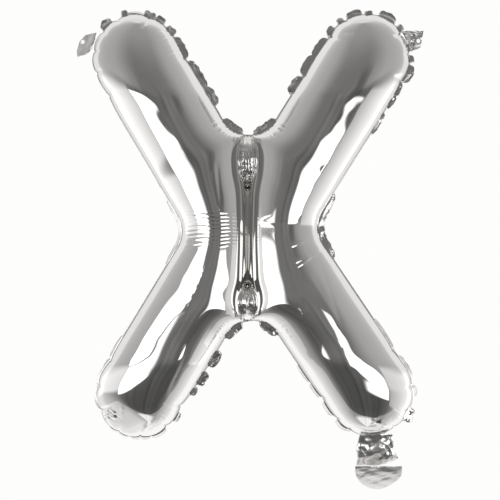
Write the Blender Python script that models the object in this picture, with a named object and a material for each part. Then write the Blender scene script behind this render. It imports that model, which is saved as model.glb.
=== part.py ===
"""Letter foil balloon: an inflated silver foil letter X with its seam, welds, hanging tabs and fill valve.

Two foil panels are welded together all round, which leaves a flat seam flange standing out from
the round arms. Two short welds on the letter's centre line draw the panels together, so the
letter reads as two bent lobes side by side with a deep valley between them.

Units are metres and +Z is up. The letter's front faces -Y. The origin is midway between the holes
of the two hanging tabs, on the string that holds the letter up in the air.
"""

import math
from collections import namedtuple

import bmesh
import bpy
from mathutils import Matrix, Vector

# The letter's plan, in its own plane: x to the right and z up from the middle of the valley
ARM_RADIUS = 0.0362  # half an arm's width from seam to seam, and the radius of its rounded end
WAIST_FILLET = 0.025  # where an upper and a lower arm's outer seams meet
NOTCH_FILLET = 0.025  # where the inner seams of a left and a right arm meet
ARM_DEPTH = 0.0362  # how far an arm swells in front of the seam, once clear of its rounded end
END_RUN = 0.0724  # from an arm's tip to where it has its whole depth
WAIST_DEPTH = 0.0300  # how far each lobe swells in front of the seam at the waist

Arm = namedtuple("Arm", "name side up end_x end_z lean")  # end circle's centre, lean in degrees
ARMS = {
    arm.name: arm
    for arm in (
        Arm("upper_left", -1, +1, -0.0921, +0.1406, 30.5),
        Arm("lower_left", -1, -1, -0.0892, -0.1356, 31.5),
        Arm("lower_right", +1, -1, +0.1007, -0.1340, 34.0),
        Arm("upper_right", +1, +1, +0.0974, +0.1406, 31.9),
    )
}

# The two welds on the centre line, and the open valley between them
Weld = namedtuple("Weld", "name up notch_end valley_end half_width")
WELDS = (
    Weld("upper_centre_weld", +1, 0.0780, 0.0345, 0.0070),
    Weld("lower_centre_weld", -1, -0.0780, -0.0460, 0.0065),
)
WELD_MOUTH = 0.0020  # half the gap between the lobes where a weld starts at its notch
WELD_STOP = 0.0015  # how far before the valley's end a weld stops
WELD_STATIONS = 8
VALLEY_DEPTH = 0.0090  # how far the valley's floor stands in front of the seam at its middle
VALLEY_STEP = 0.0030  # the same beside a weld, where the panels have just parted

# Foil, seam flange and the clearance between touching pieces
FOIL_WALL = 0.0012
FLANGE_THICKNESS = 0.0010
FLANGE_WIDTH = 0.0058
FLANGE_UNDERLAP = 0.0022  # how far the flange reaches under the foil's rim
WELD_UNDERLAP = 0.0014  # the same for a weld
SCALLOP_DEPTH = 0.0012
SCALLOPS_PER_END = 9
GAP = 0.0003
RIM_Y = FLANGE_THICKNESS / 2 + GAP

# Hanging tabs, each on the back of the flange at an upper arm's end
Tab = namedtuple("Tab", "name arm angle tip_width root_width")
TABS = (
    Tab("hanging_tab_left", "upper_left", 163.0, 0.0045, 0.0075),
    Tab("hanging_tab_right", "upper_right", 18.0, 0.0055, 0.0085),
)
TAB_HOLE_REACH = 0.0454  # from the end circle's centre to the hole's centre
TAB_HOLE_RADIUS = 0.0016
TAB_TIP = 0.0045  # from the hole's centre to the tab's tip
TAB_ROOT = 0.0075  # from the hole's centre back to the tab's root on the flange
HOLE_CUT_LENGTH = 0.0100

# Fill valve under the lower right arm, as sections from the top down
VALVE_X = 0.1056
Section = namedtuple("Section", "z shift half_width half_depth")
NECK_SECTIONS = (
    Section(-0.1790, +0.0000, 0.0172, 0.0034),
    Section(-0.1835, -0.0010, 0.0158, 0.0052),
    Section(-0.1885, +0.0000, 0.0150, 0.0056),
    Section(-0.1925, +0.0010, 0.0165, 0.0040),
    Section(-0.1945, +0.0012, 0.0172, 0.0022),
)
TAIL_SECTIONS = (
    Section(-0.1948, +0.0016, 0.0192, 0.0020),
    Section(-0.1985, +0.0016, 0.0205, 0.0044),
    Section(-0.2045, +0.0016, 0.0186, 0.0044),
    Section(-0.2105, +0.0014, 0.0128, 0.0032),
    Section(-0.2145, +0.0010, 0.0040, 0.0012),
)
NECK_TOP_HALF_DEPTH = 0.0016
NECK_TOP_SHARE = 0.98  # the neck's top edge against its first section's width
VALVE_SIDES = 16

# How finely each piece is divided
CELLS_ACROSS = 10
CAP_ROWS = 6
ARM_ROWS = 6
NOTCH_ROWS = 5
WELD_ROWS = 4
VALLEY_ROWS = 4
OUTER_STATIONS = 14
INNER_STATIONS = 9
END_STATIONS = 36
WAIST_STATIONS = 8
NOTCH_STATIONS = 14
HOLE_SIDES = 24

# Colours of the foil as the photograph shows them, and roughness
SILVER = ((0.80, 0.79, 0.78, 1.0), 0.12)
DULL_SILVER = ((0.66, 0.65, 0.64, 1.0), 0.28)


def along(arm):
    """Unit vector down an arm, from its rounded end towards the letter's middle."""
    lean = math.radians(arm.lean)
    return Vector((-arm.side * math.sin(lean), -arm.up * math.cos(lean)))


def outward(arm):
    """Unit vector across an arm, from its centre line to the seam on the letter's outer side."""
    lean = math.radians(arm.lean)
    return Vector((arm.side * math.cos(lean), -arm.up * math.sin(lean)))


def end_centre(arm):
    """Centre of the circle that rounds an arm's end."""
    return Vector((arm.end_x, arm.end_z))


def seam_start(arm, edge):
    """Where an arm's straight seam leaves its rounded end: edge is +1 outside and -1 inside."""
    return end_centre(arm) + outward(arm) * ARM_RADIUS * edge


def crossing(point_a, towards_a, point_b, towards_b):
    """Where two straight lines of the plan cross."""
    across = towards_b.orthogonal()
    return point_a + towards_a * ((point_b - point_a).dot(across) / towards_a.dot(across))


def fillet(first, second, edge, radius):
    """The arc between two arms' seams: its centre and its tangent points on the first and second."""
    meet = crossing(seam_start(first, edge), along(first), seam_start(second, edge), along(second))
    to_first, to_second = -along(first), -along(second)
    half = to_first.angle(to_second) / 2
    centre = meet + (to_first + to_second).normalized() * radius / math.sin(half)
    reach = radius / math.tan(half)
    return centre, meet + to_first * reach, meet + to_second * reach


def arc(centre, start, end, count):
    """Points from start to end the short way round a centre, count steps, both ends included."""
    sweep = (start - centre).angle_signed(end - centre)
    points = []
    for step in range(count + 1):
        turn = Matrix.Rotation(-sweep * step / count, 2)
        points.append(centre + turn @ (start - centre))
    return points


def line(start, end, count):
    """Points from start to end, count steps, both ends included."""
    return [start.lerp(end, step / count) for step in range(count + 1)]


WAISTS = {
    side: fillet(ARMS[f"upper_{word}"], ARMS[f"lower_{word}"], +1, WAIST_FILLET)
    for side, word in ((-1, "left"), (+1, "right"))
}
NOTCHES = {
    up: fillet(ARMS[f"{word}_left"], ARMS[f"{word}_right"], -1, NOTCH_FILLET)
    for up, word in ((+1, "upper"), (-1, "lower"))
}


def tab_hole(tab):
    """Centre of a hanging tab's hole in the letter's plane."""
    angle = math.radians(tab.angle)
    return end_centre(ARMS[tab.arm]) + Vector((math.cos(angle), math.sin(angle))) * TAB_HOLE_REACH


ORIGIN = (tab_hole(TABS[0]) + tab_hole(TABS[1])) / 2


def place(point, y):
    """A point of the letter's plane, y behind it, in the part's own frame."""
    return Vector((point.x - ORIGIN.x, y, point.y - ORIGIN.y))


def smooth(share):
    """A share from 0 to 1 that starts and ends gently."""
    share = min(max(share, 0.0), 1.0)
    return share * share * (3 - 2 * share)


def weld_half_width(weld, z):
    """Half the width of a weld's flat lens at a height: narrow at the notch, closed at the valley."""
    share = (z - weld.valley_end) / (weld.notch_end - weld.valley_end)
    swell = math.sin(math.pi * min(max(share, 0.0), 1.0)) ** 0.6
    return WELD_MOUTH * smooth(share * 3) + (weld.half_width - WELD_MOUTH) * swell


def valley_floor(z):
    """How far the open valley's floor stands in front of the seam at a height."""
    top, bottom = WELDS[0].valley_end, WELDS[1].valley_end
    share = min(max((z - bottom) / (top - bottom), 0.0), 1.0)
    return VALLEY_STEP + (VALLEY_DEPTH - VALLEY_STEP) * math.sqrt(math.sin(math.pi * share))


Row = namedtuple("Row", "outer inner depth floor")  # a section's two ends, its swell and its inner end's


def arm_depth(from_tip):
    """How far an arm swells in front of the seam at a distance from its tip."""
    left = 1 - min(from_tip / END_RUN, 1.0)
    return ARM_DEPTH * math.sqrt(1 - left * left)


def cap_and_arm_rows(arm, arm_end):
    """Sections across an arm, from the tip of its rounded end to where its notch begins."""
    centre, across, inwards = end_centre(arm), outward(arm), along(arm)
    rows = []
    for step in range(CAP_ROWS):
        angle = math.pi / 2 * (1 - step / CAP_ROWS)
        middle = centre - inwards * ARM_RADIUS * math.sin(angle)
        half = ARM_RADIUS * math.cos(angle)
        depth = arm_depth(ARM_RADIUS * (1 - math.sin(angle)))
        rows.append(Row(middle + across * half, middle - across * half, depth, 0.0))
    for step in range(ARM_ROWS + 1):
        past_cap = arm_end * step / ARM_ROWS
        middle = centre + inwards * past_cap
        depth = arm_depth(ARM_RADIUS + past_cap)
        rows.append(Row(middle + across * ARM_RADIUS, middle - across * ARM_RADIUS, depth, 0.0))
    return rows


def run_length(points):
    """Distances along a list of points, starting from 0."""
    lengths = [0.0]
    for before, after in zip(points, points[1:]):
        lengths.append(lengths[-1] + (after - before).length)
    return lengths


def point_at(points, share):
    """The point a share of the way along a list of points."""
    lengths = run_length(points)
    wanted = share * lengths[-1]
    for i in range(1, len(points)):
        if wanted <= lengths[i] or i == len(points) - 1:
            step = lengths[i] - lengths[i - 1]
            return points[i - 1].lerp(points[i], (wanted - lengths[i - 1]) / step)
    return points[-1]


def eased_share(share, pace):
    """A share from 0 to 1 that changes by pace times its own change at both ends."""
    there = share * share * (3 - 2 * share)
    return there + pace * share * (1 - share) * (1 - 2 * share)


def centre_rows(arm, arm_end, weld):
    """Sections from an arm's notch to the waist: down the weld's edge and then the open valley."""
    centre, on_left, on_right = NOTCHES[arm.up]
    tangent = on_left if arm.side < 0 else on_right
    lowest = centre - Vector((0, NOTCH_FILLET * arm.up))
    mouth = Vector((WELD_MOUTH * arm.side, lowest.y))
    inner = [(point, 0.0) for point in arc(centre, tangent, mouth, NOTCH_ROWS)[1:]]
    for step in range(1, WELD_ROWS + 1):
        z = lowest.y + (weld.valley_end + WELD_STOP * weld.up - lowest.y) * step / WELD_ROWS
        half = max(weld_half_width(weld, z), WELD_MOUTH)
        inner.append((Vector((half * arm.side, z)), 0.0))
    for step in range(VALLEY_ROWS + 1):
        z = weld.valley_end * (1 - step / VALLEY_ROWS)
        inner.append((Vector((0, z)), valley_floor(z)))
    start = seam_start(arm, +1) + along(arm) * arm_end
    waist_centre, on_upper, on_lower = WAISTS[arm.side]
    near, far = (on_upper, on_lower) if arm.up > 0 else (on_lower, on_upper)
    half_waist = arc(waist_centre, near, far, WAIST_STATIONS)[: WAIST_STATIONS // 2 + 1]
    outer = [start] + half_waist
    lengths = run_length([tangent] + [point for point, _ in inner])
    pace = lengths[-1] / run_length(outer)[-1]
    swell = arm_depth(ARM_RADIUS + arm_end)
    rows = []
    for (point, floor), length in zip(inner, lengths[1:]):
        share = length / lengths[-1]
        depth = swell + (WAIST_DEPTH - swell) * smooth(share)
        rows.append(Row(point_at(outer, eased_share(share, pace)), point, depth, floor))
    return rows


def lobe_rows(side):
    """Sections of one lobe, from its upper arm's tip down to its lower arm's tip."""
    word = "left" if side < 0 else "right"
    halves = []
    for weld in WELDS:
        arm = ARMS[("upper_" if weld.up > 0 else "lower_") + word]
        _, on_left, on_right = NOTCHES[arm.up]
        tangent = on_left if side < 0 else on_right
        arm_end = (tangent - seam_start(arm, -1)).length
        halves.append(cap_and_arm_rows(arm, arm_end) + centre_rows(arm, arm_end, weld))
    return halves[0] + halves[1][-2::-1]


def section_points(row, face):
    """Points over a lobe from its outer seam to its inner end: face is -1 in front, +1 behind."""
    turn = math.pi
    if row.floor:
        turn -= math.asin(min(row.floor / row.depth, 1.0))
    points = []
    for cell in range(CELLS_ACROSS + 1):
        angle = turn * cell / CELLS_ACROSS
        share = (1 - math.cos(angle)) / (1 - math.cos(turn))
        swell = row.depth * math.sin(angle)
        points.append(place(row.outer.lerp(row.inner, share), face * (RIM_Y + swell)))
    return points


def material(name, colour_and_roughness):
    """A metallic foil material."""
    colour, roughness = colour_and_roughness
    made = bpy.data.materials.new(name)
    made.use_nodes = True
    shader = made.node_tree.nodes["Principled BSDF"]
    shader.inputs["Base Color"].default_value = colour
    shader.inputs["Metallic"].default_value = 1.0
    shader.inputs["Roughness"].default_value = roughness
    return made


def finish(name, mesh, look, smooth_angle=60):
    """Puts a bmesh into the scene as a named object with its own material."""
    data = bpy.data.meshes.new(name)
    mesh.to_mesh(data)
    mesh.free()
    data.shade_smooth()
    data.set_sharp_from_angle(angle=math.radians(smooth_angle))
    obj = bpy.data.objects.new(name, data)
    bpy.context.scene.collection.objects.link(obj)
    data.materials.append(material(name, look))
    return obj


def foil_panel(name, face):
    """One foil panel: both lobes' skin on one side of the seam, open towards the seam."""
    mesh = bmesh.new()
    for side in (-1, +1):
        rows = [[mesh.verts.new(p) for p in section_points(row, face)] for row in lobe_rows(side)]
        for upper, lower in zip(rows, rows[1:]):
            for j in range(CELLS_ACROSS):
                corners = [upper[j], lower[j], lower[j + 1], upper[j + 1]]
                mesh.faces.new(corners if side * face > 0 else corners[::-1])
    bmesh.ops.remove_doubles(mesh, verts=mesh.verts, dist=1e-6)
    panel = finish(name, mesh, SILVER)
    wall = panel.modifiers.new("wall", "SOLIDIFY")
    wall.thickness = FOIL_WALL
    wall.offset = -1
    return panel


def outline():
    """Stations round the seam, counter-clockwise from the top notch: point, outward, scallop share."""
    stations = []

    def add(points, normal_of, scalloped=False):
        count = len(points) - 1
        for i, point in enumerate(points[:-1]):
            wave = abs(math.sin(math.pi * SCALLOPS_PER_END * i / count)) if scalloped else 0.5
            stations.append((point, normal_of(point), wave))

    def hollow(corner, count, reverse=False):
        centre, first, second = corner
        if reverse:
            first, second = second, first
        add(arc(centre, first, second, count), lambda point: (centre - point).normalized())

    def arm_run(arm, inner_first):
        centre, tip = end_centre(arm), end_centre(arm) - along(arm) * ARM_RADIUS
        _, notch_left, notch_right = NOTCHES[arm.up]
        _, waist_upper, waist_lower = WAISTS[arm.side]
        notch = notch_left if arm.side < 0 else notch_right
        waist = waist_upper if arm.up > 0 else waist_lower
        inner, outer = seam_start(arm, -1), seam_start(arm, +1)
        inner_normal, outer_normal = -outward(arm), outward(arm)
        rounded = arc(centre, inner, tip, END_STATIONS // 2)
        rounded += arc(centre, tip, outer, END_STATIONS // 2)[1:]

        def radial(point):
            return (point - centre).normalized()

        if inner_first:
            add(line(notch, inner, INNER_STATIONS), lambda _: inner_normal)
            add(rounded, radial, scalloped=True)
            add(line(outer, waist, OUTER_STATIONS), lambda _: outer_normal)
        else:
            add(line(waist, outer, OUTER_STATIONS), lambda _: outer_normal)
            add(rounded[::-1], radial, scalloped=True)
            add(line(inner, notch, INNER_STATIONS), lambda _: inner_normal)

    arm_run(ARMS["upper_left"], inner_first=True)
    hollow(WAISTS[-1], WAIST_STATIONS)
    arm_run(ARMS["lower_left"], inner_first=False)
    hollow(NOTCHES[-1], NOTCH_STATIONS)
    arm_run(ARMS["lower_right"], inner_first=True)
    hollow(WAISTS[+1], WAIST_STATIONS, reverse=True)
    arm_run(ARMS["upper_right"], inner_first=False)
    hollow(NOTCHES[+1], NOTCH_STATIONS, reverse=True)
    return stations


def seam_flange():
    """The flat welded seam that stands out all round, a ring that the foil's rims sit on."""
    mesh = bmesh.new()
    half = FLANGE_THICKNESS / 2
    loops = []
    for point, normal, wave in outline():
        inner = point - normal * FLANGE_UNDERLAP
        outer = point + normal * (FLANGE_WIDTH - SCALLOP_DEPTH * (1 - wave))
        corners = ((inner, -half), (outer, -half), (outer, +half), (inner, +half))
        loops.append([mesh.verts.new(place(spot, y)) for spot, y in corners])
    for before, after in zip(loops, loops[1:] + loops[:1]):
        for k in range(4):
            mesh.faces.new((before[k], before[(k + 1) % 4], after[(k + 1) % 4], after[k]))
    bmesh.ops.recalc_face_normals(mesh, faces=mesh.faces)
    return finish("seam_flange", mesh, DULL_SILVER, smooth_angle=30)


def plate(name, points, y_low, y_high, look):
    """A flat plate with the given outline in the letter's plane."""
    mesh = bmesh.new()
    base = mesh.faces.new([mesh.verts.new(place(point, y_low)) for point in points])
    moved = bmesh.ops.extrude_face_region(mesh, geom=[base])["geom"]
    for vert in (item for item in moved if isinstance(item, bmesh.types.BMVert)):
        vert.co.y = y_high
    bmesh.ops.recalc_face_normals(mesh, faces=mesh.faces)
    return finish(name, mesh, look, smooth_angle=30)


def centre_weld(weld):
    """A weld's flat lens between the lobes, from the flange at its notch to the valley."""
    centre, _, _ = NOTCHES[weld.up]
    lowest = centre.y - NOTCH_FILLET * weld.up
    top = lowest - (FLANGE_UNDERLAP + GAP) * weld.up
    left, right = [], []
    for step in range(WELD_STATIONS + 1):
        z = top + (weld.valley_end + WELD_STOP * weld.up - top) * step / WELD_STATIONS
        half = max(weld_half_width(weld, z), WELD_MOUTH) + WELD_UNDERLAP
        left.append(Vector((-half, z)))
        right.append(Vector((half, z)))
    half = FLANGE_THICKNESS / 2
    return plate(weld.name, left + right[::-1], -half, half, DULL_SILVER)


def hanging_tab(tab):
    """A small tab on the back of the flange, with the hole that the string runs through."""
    hole = tab_hole(tab)
    angle = math.radians(tab.angle)
    reach = Vector((math.cos(angle), math.sin(angle)))
    across = Vector((-reach.y, reach.x))
    tip = [
        hole + reach * TAB_TIP * math.cos(turn) + across * tab.tip_width * math.sin(turn)
        for turn in (math.pi * (step / 8 - 0.5) for step in range(9))
    ]
    root = [
        hole - reach * TAB_ROOT + across * tab.root_width / 2,
        hole - reach * TAB_ROOT - across * tab.root_width / 2,
    ]
    low, high = RIM_Y, RIM_Y + FLANGE_THICKNESS
    body = plate(tab.name, tip + root, low, high, DULL_SILVER)
    cutter_mesh = bmesh.new()
    bmesh.ops.create_cone(
        cutter_mesh, cap_ends=True, segments=HOLE_SIDES, depth=HOLE_CUT_LENGTH,
        radius1=TAB_HOLE_RADIUS, radius2=TAB_HOLE_RADIUS,
        matrix=Matrix.Translation(place(hole, 0)) @ Matrix.Rotation(math.pi / 2, 4, "X"),
    )
    cutter = finish(tab.name + "_hole", cutter_mesh, DULL_SILVER)
    cutter.hide_render = True
    cutter.display_type = "WIRE"
    cut = body.modifiers.new("hole", "BOOLEAN")
    cut.operation = "DIFFERENCE"
    cut.solver = "EXACT"
    cut.object = cutter
    return body


def flattened_tube(name, rings):
    """A closed body through a list of rings of points, from the top ring down."""
    mesh = bmesh.new()
    loops = [[mesh.verts.new(point) for point in ring] for ring in rings]
    for above, below in zip(loops, loops[1:]):
        for k in range(VALVE_SIDES):
            after = (k + 1) % VALVE_SIDES
            mesh.faces.new((above[k], above[after], below[after], below[k]))
    for loop in (loops[0], loops[-1]):
        for k in range(VALVE_SIDES // 2 - 1):
            mesh.faces.new((loop[k], loop[k + 1], loop[-2 - k], loop[-1 - k]))
    bmesh.ops.recalc_face_normals(mesh, faces=mesh.faces)
    return finish(name, mesh, SILVER, smooth_angle=50)


def ring(section):
    """Points round a flattened section, with its flat sides to the front and back."""
    points = []
    for k in range(VALVE_SIDES):
        angle = 2 * math.pi * (k + 0.5) / VALVE_SIDES
        across = math.copysign(abs(math.cos(angle)) ** 0.8, math.cos(angle))
        depth = math.copysign(abs(math.sin(angle)) ** 0.6, math.sin(angle))
        spot = Vector((VALVE_X + section.shift + section.half_width * across, section.z))
        points.append(place(spot, section.half_depth * depth))
    return points


def valve_neck():
    """The crumpled neck of the fill valve, which follows the flange's edge at its top."""
    arm = ARMS["lower_right"]
    edge = ARM_RADIUS + FLANGE_WIDTH + GAP
    first = NECK_SECTIONS[0]
    top = []
    half_width = first.half_width * NECK_TOP_SHARE
    for point in ring(Section(0, first.shift, half_width, NECK_TOP_HALF_DEPTH)):
        aside = point.x + ORIGIN.x - arm.end_x
        z = arm.end_z - math.sqrt(edge ** 2 - aside ** 2)
        top.append(Vector((point.x, point.y, z - ORIGIN.y)))
    return flattened_tube("valve_neck", [top] + [ring(section) for section in NECK_SECTIONS])


def valve_tail():
    """The half-round end of the fill valve, puffed with a little air."""
    return flattened_tube("valve_tail", [ring(section) for section in TAIL_SECTIONS])


def main():
    for old in list(bpy.data.objects):
        bpy.data.objects.remove(old, do_unlink=True)
    foil_panel("front_foil", -1)
    foil_panel("back_foil", +1)
    seam_flange()
    for weld in WELDS:
        centre_weld(weld)
    for tab in TABS:
        hanging_tab(tab)
    valve_neck()
    valve_tail()


main()
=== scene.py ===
"""Letter foil balloon: the looks of an inflated silver letter X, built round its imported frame.

Two foil panels swell in front of and behind a welded seam. The seam stands out as a crumpled
flange, pinches the foil where it runs round an arm's end, and two short welds on the centre line
draw the panels together, with an open valley between them.

Sizes are in millimetres of the letter's own plane, x to the right and z up from the middle of the
letter, until LetterPlan.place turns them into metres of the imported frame.
"""

from __future__ import annotations

import logging
import math
from collections.abc import Mapping, Sequence
from dataclasses import dataclass, field
from enum import Enum

import bmesh
import bpy
import numpy as np
from mathutils import Matrix, Vector, kdtree

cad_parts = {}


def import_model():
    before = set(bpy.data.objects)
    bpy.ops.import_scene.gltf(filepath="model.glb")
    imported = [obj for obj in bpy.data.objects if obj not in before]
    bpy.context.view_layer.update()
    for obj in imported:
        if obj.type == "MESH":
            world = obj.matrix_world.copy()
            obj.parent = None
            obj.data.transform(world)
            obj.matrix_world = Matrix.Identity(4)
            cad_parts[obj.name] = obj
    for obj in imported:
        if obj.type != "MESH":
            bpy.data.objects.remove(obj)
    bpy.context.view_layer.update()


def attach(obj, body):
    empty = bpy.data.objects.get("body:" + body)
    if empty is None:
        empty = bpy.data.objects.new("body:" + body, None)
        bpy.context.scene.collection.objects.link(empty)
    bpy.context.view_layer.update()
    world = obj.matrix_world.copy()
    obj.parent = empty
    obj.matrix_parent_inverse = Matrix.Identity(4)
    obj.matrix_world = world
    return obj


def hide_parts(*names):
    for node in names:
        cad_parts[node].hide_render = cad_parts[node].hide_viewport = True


LOG = logging.getLogger("letter_balloon")
MM = 0.001


class Panel(Enum):
    """The two foil panels, by the way each faces."""

    FRONT = -1
    BACK = +1


def smooth(share: np.ndarray) -> np.ndarray:
    """A share held between 0 and 1 that starts and ends gently."""
    held = np.clip(share, 0.0, 1.0)
    return held * held * (3.0 - 2.0 * held)


def window(offset: np.ndarray, half: float, soft: float) -> np.ndarray:
    """1 within half of the middle, falling gently to 0 over the last soft of it."""
    return smooth((half - np.abs(offset)) / soft)


def crumple(points: np.ndarray, wave: float, seed: int, layers: int = 6) -> np.ndarray:
    """Sharp-edged flat facets, as crushed foil has, from triangle waves in unlike directions.

    Args:
        points: Places, one a row.
        wave: Usual size of a facet, in the points' unit.
        seed: Chooses the directions.
        layers: How many waves are laid over each other.

    Returns:
        Heights from about -1 to 1.
    """
    rng = np.random.default_rng(seed)
    bent = points + 0.35 * wave * np.sin(points[:, ::-1] / (1.9 * wave) + 0.7)
    height = np.zeros(len(points))
    for _ in range(layers):
        towards = rng.normal(size=points.shape[1])
        towards /= np.linalg.norm(towards)
        run = bent @ towards / (wave * rng.uniform(1.4, 3.2)) + rng.uniform()
        height += np.abs((run % 1.0) * 2.0 - 1.0) * 2.0 - 1.0
    return height / math.sqrt(layers) / 0.75


def ripple(points: np.ndarray, wave: float, seed: int, layers: int = 5) -> np.ndarray:
    """Slow smooth swells from sine waves in unlike directions.

    Args:
        points: Places, one a row.
        wave: Usual distance from crest to crest.
        seed: Chooses the directions.
        layers: How many waves are laid over each other.

    Returns:
        Heights from about -1 to 1.
    """
    rng = np.random.default_rng(seed)
    height = np.zeros(len(points))
    for _ in range(layers):
        towards = rng.normal(size=points.shape[1])
        towards /= np.linalg.norm(towards)
        run = points @ towards / (wave * rng.uniform(0.7, 1.5)) + rng.uniform()
        height += np.sin(run * 2.0 * math.pi)
    return height / math.sqrt(layers)


@dataclass(frozen=True)
class Arm:
    """One of the letter's four arms: its rounded end's centre, and its lean from upright."""

    side: int
    up: int
    end: tuple[float, float]
    lean: float
    flat_run: float = 0.0
    flat_slope: float = 0.9

    @property
    def centre(self) -> Vector:
        """Centre of the circle that rounds the arm's end."""
        return Vector(self.end)

    @property
    def inwards(self) -> Vector:
        """Unit vector down the arm, from its end towards the letter's middle."""
        lean = math.radians(self.lean)
        return Vector((-self.side * math.sin(lean), -self.up * math.cos(lean)))

    @property
    def outward(self) -> Vector:
        """Unit vector across the arm, towards the letter's outer side."""
        lean = math.radians(self.lean)
        return Vector((self.side * math.cos(lean), -self.up * math.sin(lean)))


@dataclass(frozen=True)
class Corner:
    """An arc that joins two arms' seams: its centre and where it meets the first and the second."""

    centre: Vector
    first: Vector
    second: Vector


@dataclass(frozen=True)
class Weld:
    """A short weld on the centre line, from its notch to the open valley."""

    name: str
    up: int
    notch_end: float
    valley_end: float
    half_width: float


def arc(centre: Vector, start: Vector, end: Vector, count: int) -> list[Vector]:
    """Points the short way round a centre, both ends included.

    Args:
        centre: Centre of the arc.
        start: First point.
        end: Last point.
        count: Number of steps.

    Returns:
        One point more than there are steps.
    """
    sweep = (start - centre).angle_signed(end - centre)
    return [
        centre + Matrix.Rotation(-sweep * step / count, 2) @ (start - centre)
        for step in range(count + 1)
    ]


def line(start: Vector, end: Vector, count: int) -> list[Vector]:
    """Points along a straight line, both ends included."""
    return [start.lerp(end, step / count) for step in range(count + 1)]


def run_lengths(points: np.ndarray) -> np.ndarray:
    """The distance from the first of a row of points to each of them, along the row."""
    return np.concatenate(((0.0,), np.cumsum(np.linalg.norm(np.diff(points, axis=0), axis=1))))


@dataclass
class LetterPlan:
    """The letter's outline: four arms with round ends, two waists and two notches."""

    arm_radius: float = 36.2
    waist_fillet: float = 25.0
    notch_fillet: float = 25.0
    origin: tuple[float, float] = (2.531, 154.252)
    weld_mouth: float = 2.0
    arms: dict[tuple[int, int], Arm] = field(
        default_factory=lambda: {
            (arm.side, arm.up): arm
            for arm in (
                Arm(-1, +1, (-92.1, +140.6), 30.5),
                Arm(-1, -1, (-89.2, -135.6), 31.5, flat_run=27.0),
                Arm(+1, -1, (+100.7, -134.0), 34.0),
                Arm(+1, +1, (+97.4, +140.6), 31.9),
            )
        }
    )
    welds: dict[int, Weld] = field(
        default_factory=lambda: {
            +1: Weld("upper_centre_weld", +1, 78.0, 34.5, 2.3),
            -1: Weld("lower_centre_weld", -1, -78.0, -46.0, 2.5),
        }
    )

    def seam_start(self, arm: Arm, edge: int) -> Vector:
        """Where an arm's straight seam leaves its round end: edge is +1 outside and -1 inside."""
        return arm.centre + arm.outward * self.arm_radius * edge

    def corner(self, first: Arm, second: Arm, edge: int, radius: float) -> Corner:
        """The arc between two arms' seams.

        Args:
            first: One arm.
            second: The other arm.
            edge: +1 for their outer seams, -1 for their inner ones.
            radius: Radius of the arc.

        Returns:
            The arc's centre and the points where it leaves each seam.
        """
        start, other = self.seam_start(first, edge), self.seam_start(second, edge)
        across = second.inwards.orthogonal()
        reach = (other - start).dot(across) / first.inwards.dot(across)
        meet = start + first.inwards * reach
        to_first, to_second = -first.inwards, -second.inwards
        half = to_first.angle(to_second) / 2
        centre = meet + (to_first + to_second).normalized() * radius / math.sin(half)
        leave = radius / math.tan(half)
        return Corner(centre, meet + to_first * leave, meet + to_second * leave)

    def waist(self, side: int) -> Corner:
        """The arc between the outer seams of the two arms on one side, upper arm first."""
        return self.corner(self.arms[side, +1], self.arms[side, -1], +1, self.waist_fillet)

    def notch(self, up: int) -> Corner:
        """The arc between the inner seams of the two upper or lower arms, left arm first."""
        return self.corner(self.arms[-1, up], self.arms[+1, up], -1, self.notch_fillet)

    def inner_end(self, arm: Arm) -> Vector:
        """Where an arm's straight inner seam meets its notch's arc."""
        notch = self.notch(arm.up)
        return notch.first if arm.side < 0 else notch.second

    def weld_half(self, weld: Weld, z: float) -> float:
        """Half the width of the gap that the panels leave for a weld.

        Args:
            weld: The weld.
            z: A height on the centre line.

        Returns:
            A half width that is narrow at the notch and closed at the valley.
        """
        share = min(max((z - weld.valley_end) / (weld.notch_end - weld.valley_end), 0.0), 1.0)
        mouth = self.weld_mouth * min(share * 3, 1.0) ** 2 * (3 - 2 * min(share * 3, 1.0))
        return mouth + (weld.half_width - self.weld_mouth) * math.sin(math.pi * share) ** 0.6

    def place(self, spots: np.ndarray) -> np.ndarray:
        """Millimetres of the letter, as rows of x, y and z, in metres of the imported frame."""
        return (spots - np.array((self.origin[0], 0.0, self.origin[1]))) * MM

    def place_grid(self, spots: np.ndarray) -> np.ndarray:
        """The same for a grid of rows and columns of points."""
        return self.place(spots.reshape(-1, 3)).reshape(spots.shape)


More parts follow.
